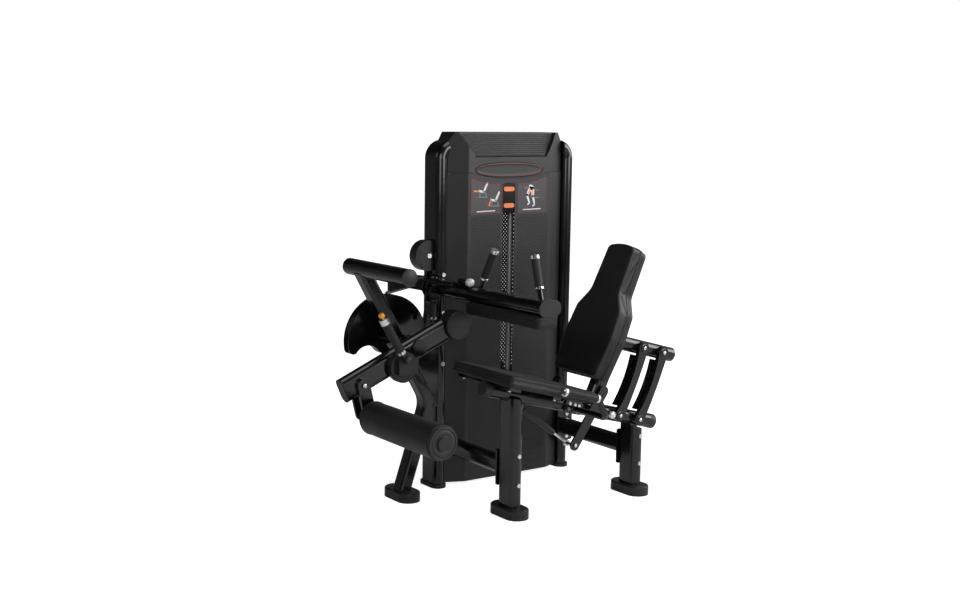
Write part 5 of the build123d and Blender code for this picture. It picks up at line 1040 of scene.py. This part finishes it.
# link bosses: black washer and a bright bolt head
LOWS = [(s * CI, 490.7 - s * SI) for s in (541.0, 656.0)]
UPPS = [(x + 124.0, z + 272.0) for x, z in LOWS]
for tag, pts, body in (("low", LOWS, "frame"), ("upp", UPPS, "back")):
    for i, (x, z) in enumerate(pts):
        turned(f"boss_{tag}_{i}", "frame_black", body, [(10.2, 52.1), (17.5, 52.1), (18.4, 52.8), (18.4, 54.4), (17.4, 55.2), (10.2, 55.4), (10.2, 52.1)], P(x, 0, z), (0, -1, 0), "frame_black")
        turned(f"boss_bolt_{tag}_{i}", "zinc", body, [(0, 56.5), (7.4, 56.5), (7.6, 58.4), (6.2, 60.2), (3.4, 61.1), (0, 61.3)], P(x, 0, z), (0, -1, 0), "zinc")


def head(name, x, y, z, r, body, h=2.2, mat="zinc", d=(0, -1, 0)):
    # domed head with a hex socket ring, standing on a face
    turned(name, mat, body, [(0, -0.3), (r, -0.3), (r, h * 0.45), (r * 0.8, h * 0.85), (r * 0.5, h), (r * 0.44, h), (r * 0.42, h * 0.4), (0, h * 0.38)], P(x, y, z), d, "zinc")


head("clamp_bolt_0", -515.0, 252.0, 532.0, 8.8, "lever")
head("clamp_bolt_1", -487.0, 252.0, 447.0, 8.8, "lever")
head("gas_end_bolt", 285.0, -57.6, 256.0, 7.0, "back")

# moulded end caps of the open tubes
def stadium(w, h, n=20):
    r = min(w, h) / 2
    pts = []
    for k in range(2 * n + 2):
        a = math.pi * (k if k <= n else k - 1) / n
        cx, cy = math.cos(a) * r, math.sin(a) * r
        up = k <= n
        if w >= h:
            a2 = a - math.pi / 2
            cx, cy = math.cos(a2) * r, math.sin(a2) * r
            cx += (w / 2 - r) if up else -(w / 2 - r)
        else:
            cy += (h / 2 - r) if up else -(h / 2 - r)
        pts.append((cx, cy))
    return pts


def cap_plate(name, w, h, to, body, t=2.4, c=0.9, grow=0.5, mat="cap_dark"):
    q = Bag()
    lv = [(grow, 0.0), (grow, t - c), (grow - c, t), (grow - 4.0, t), (grow - 4.6, t - 0.5), (grow - 5.2, t), (grow - 9.0, t)]
    vs, fs = [], []
    n = 0
    for g, d in lv:
        pts = stadium(w + 2 * g, h + 2 * g)
        n = len(pts)
        vs += [to(u, v, d) for u, v in pts]
    for i in range(len(lv) - 1):
        for j in range(n):
            a, b2 = i * n + j, i * n + (j + 1) % n
            fs.append((a, b2, b2 + n, a + n))
    fs.append(tuple(range(n)))
    fs.append(tuple(reversed(range((len(lv) - 1) * n, len(lv) * n))))
    q.add(vs, fs)
    return q.done(name, mat, body, slot="black_plastic", angle=30)


cap_plate("beam_cap", 104.0, 62.0, lambda u, v, d: P(-10.0 + u, -245.0 - d, 859.0 + v), "thigh_beam")
al = math.atan2(0.394, 0.919)
ac, as_ = math.cos(al), math.sin(al)
cap_plate("lever_cap", 50.0, 100.0, lambda u, v, d: P(-257.0 - (362.0 + d) * ac - v * as_, 297.0 + u, 655.0 - (362.0 + d) * as_ + v * ac), "lever")
turned("cross_tube_cap", "cap_dark", "frame", [(0, 2.2), (33.5 - 4.8, 2.2), (33.5 - 4.2, 1.7), (33.5 - 3.6, 2.2), (33.5 - 1.0, 2.2), (33.5 + 0.4, 1.2), (33.5 + 0.4, -0.2), (0, -0.2)], P(-418.0, 90.0, 963.0), (0, -1, 0), "black_plastic", seg=64)

# pressed ring lines on the guard cheek and the counterweight face
q = Bag()
for r in (57.0, 47.0):
    a0 = math.degrees(math.acos(17.0 / r))
    q.tube([P(-63.0 + r * math.cos(math.radians(a0 + (360 - 2 * a0) * k / 60)), 502.9, 990.0 + r * math.sin(math.radians(a0 + (360 - 2 * a0) * k / 60))) for k in range(61)], 0.0009, seg=6)
q.done("guard_lines", "black_plastic", "frame", slot="black_plastic", angle=80)
q = Bag()
cwx, cwz = -257.0 + 197.0 * ac, 655.0 + 197.0 * as_
for r in (53.0, 48.0):
    q.tube([P(cwx + r * math.cos(2 * math.pi * k / 80), 256.1, cwz + r * math.sin(2 * math.pi * k / 80)) for k in range(80)], 0.0008, seg=6, closed=True)
q.done("counterweight_lines", "disc", "lever", slot="black_plastic", angle=80)

# belt run: an own copy of the belt_drop piece, carried on the frame
src = NODES["belt_drop"]
me = src.data.copy()
o = bpy.data.objects.new("belt_fall", me)
bpy.context.scene.collection.objects.link(o)
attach(o, "frame")
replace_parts(o, "belt_drop")
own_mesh(o)

# ---------------------------------------------------------------- studio
floor_m = Mat("floor")
fn = floor_m.noise(1.2, 2.0)
floor_m.color(floor_m.mix(fn, (0.86, 0.86, 0.86, 1.0), (0.89, 0.89, 0.89, 1.0)))
floor_m.set(rough=0.9, spec=0.1)
floor_m.p.inputs["Emission Color"].default_value = (1, 1, 1, 1)
lpn = floor_m.nt.nodes.new("ShaderNodeLightPath")
fx, fy_, fz = floor_m.xyz()
far = floor_m.range(floor_m.math("SQRT", floor_m.math("ADD", floor_m.math("MULTIPLY", fx, fx), floor_m.math("MULTIPLY", fy_, fy_))), 0.80, 1.1, 0.8, 2.2)
floor_m.link(floor_m.math("ADD", floor_m.math("MULTIPLY", lpn.outputs["Is Camera Ray"], far), 0.06), floor_m.p.inputs["Emission Strength"])
S = 60.0
fl = make("studio_floor", [(-S, -S, 0), (S, -S, 0), (S, S, 0), (-S, S, 0)], [(0, 1, 2, 3)], floor_m.m, None, smooth=False)

world = bpy.data.worlds.new("studio")
bpy.context.scene.world = world
world.use_nodes = True
nt = world.node_tree
nt.nodes.clear()
wo = nt.nodes.new("ShaderNodeOutputWorld")
bg = nt.nodes.new("ShaderNodeBackground")
tc = nt.nodes.new("ShaderNodeTexCoord")
sx = nt.nodes.new("ShaderNodeSeparateXYZ")
nt.links.new(tc.outputs["Generated"], sx.inputs[0])
rp = nt.nodes.new("ShaderNodeValToRGB")
nt.links.new(sx.outputs[2], rp.inputs[0])
e = rp.color_ramp.elements
e[0].position, e[0].color = 0.0, (0.85, 0.85, 0.86, 1)
e[1].position, e[1].color = 1.0, (0.05, 0.05, 0.053, 1)
k = e.new(0.12); k.color = (0.62, 0.62, 0.63, 1)
k = e.new(0.38); k.color = (0.12, 0.12, 0.125, 1)


def wmath(op, a, b):
    n = nt.nodes.new("ShaderNodeMath")
    n.operation = op
    for i, v in enumerate((a, b)):
        if isinstance(v, (int, float)):
            n.inputs[i].default_value = v
        else:
            nt.links.new(v, n.inputs[i])
    return n.outputs[0]


# brighter towards the front right, dim towards the left
side = wmath("ADD", wmath("MULTIPLY", sx.outputs[0], 0.72), wmath("MULTIPLY", sx.outputs[1], -0.69))
mr = nt.nodes.new("ShaderNodeMapRange")
mr.interpolation_type = "SMOOTHSTEP"
nt.links.new(side, mr.inputs[0])
mr.inputs[1].default_value, mr.inputs[2].default_value = -0.75, 0.95
mr.inputs[3].default_value, mr.inputs[4].default_value = 0.16, 1.15
nt.links.new(rp.outputs[0], bg.inputs[0])
nt.links.new(mr.outputs[0], bg.inputs[1])
bg2 = nt.nodes.new("ShaderNodeBackground")
bg2.inputs[0].default_value = (1, 1, 1, 1)
bg2.inputs[1].default_value = 1.05
lpw = nt.nodes.new("ShaderNodeLightPath")
ms = nt.nodes.new("ShaderNodeMixShader")
nt.links.new(lpw.outputs["Is Camera Ray"], ms.inputs[0])
nt.links.new(bg.outputs[0], ms.inputs[1])
nt.links.new(bg2.outputs[0], ms.inputs[2])
nt.links.new(ms.outputs[0], wo.inputs[0])


def area(name, loc, target, size, power, size_y=None):
    l = bpy.data.lights.new(name, "AREA")
    l.energy = power
    l.shape = "RECTANGLE"
    l.size, l.size_y = size, size_y or size
    o = bpy.data.objects.new(name, l)
    bpy.context.scene.collection.objects.link(o)
    o.location = loc
    o.rotation_mode = "QUATERNION"
    o.rotation_quaternion = (Vector(target) - Vector(loc)).to_track_quat("-Z", "Y")
    return o


area("key_right", (2.2, -3.6, 2.2), (0, 0, 0.7), 2.4, 76)
area("rim_left", (-3.2, 1.8, 2.4), (0, 0, 0.8), 1.4, 8)
area("fill_left", (-2.6, -3.0, 1.9), (0.1, 0.3, 1.0), 1.8, 26)
area("top_soft", (0.2, -0.6, 4.2), (0, 0, 0.4), 2.6, 40)
er = area("edge_right", (3.0, -0.9, 2.4), (0.35, 0.3, 1.35), 2.2, 12)
er.data.spread = math.radians(70)

# camera at the photograph's viewpoint
az, tl, ro = math.radians(-35.4), math.radians(7.94), math.radians(-0.8)
f = Vector((-math.sin(az) * math.cos(tl), math.cos(az) * math.cos(tl), -math.sin(tl)))
rr = Vector((math.cos(az), math.sin(az), 0))
dn = f.cross(rr)
rr2 = rr * math.cos(ro) + dn * math.sin(ro)
dn2 = -rr * math.sin(ro) + dn * math.cos(ro)
cam = bpy.data.cameras.new("camera")
cam.lens, cam.sensor_width = 50.0, 36.0
cam.clip_start, cam.clip_end = 0.1, 200.0
co = bpy.data.objects.new("camera", cam)
bpy.context.scene.collection.objects.link(co)
m3 = Matrix((rr2, -dn2, -f)).transposed()
co.matrix_world = Matrix.Translation(P(-3073.93, -4103.66, 1575.0)) @ m3.to_4x4()
bpy.context.scene.camera = co
bpy.context.scene.view_settings.view_transform = "Standard"
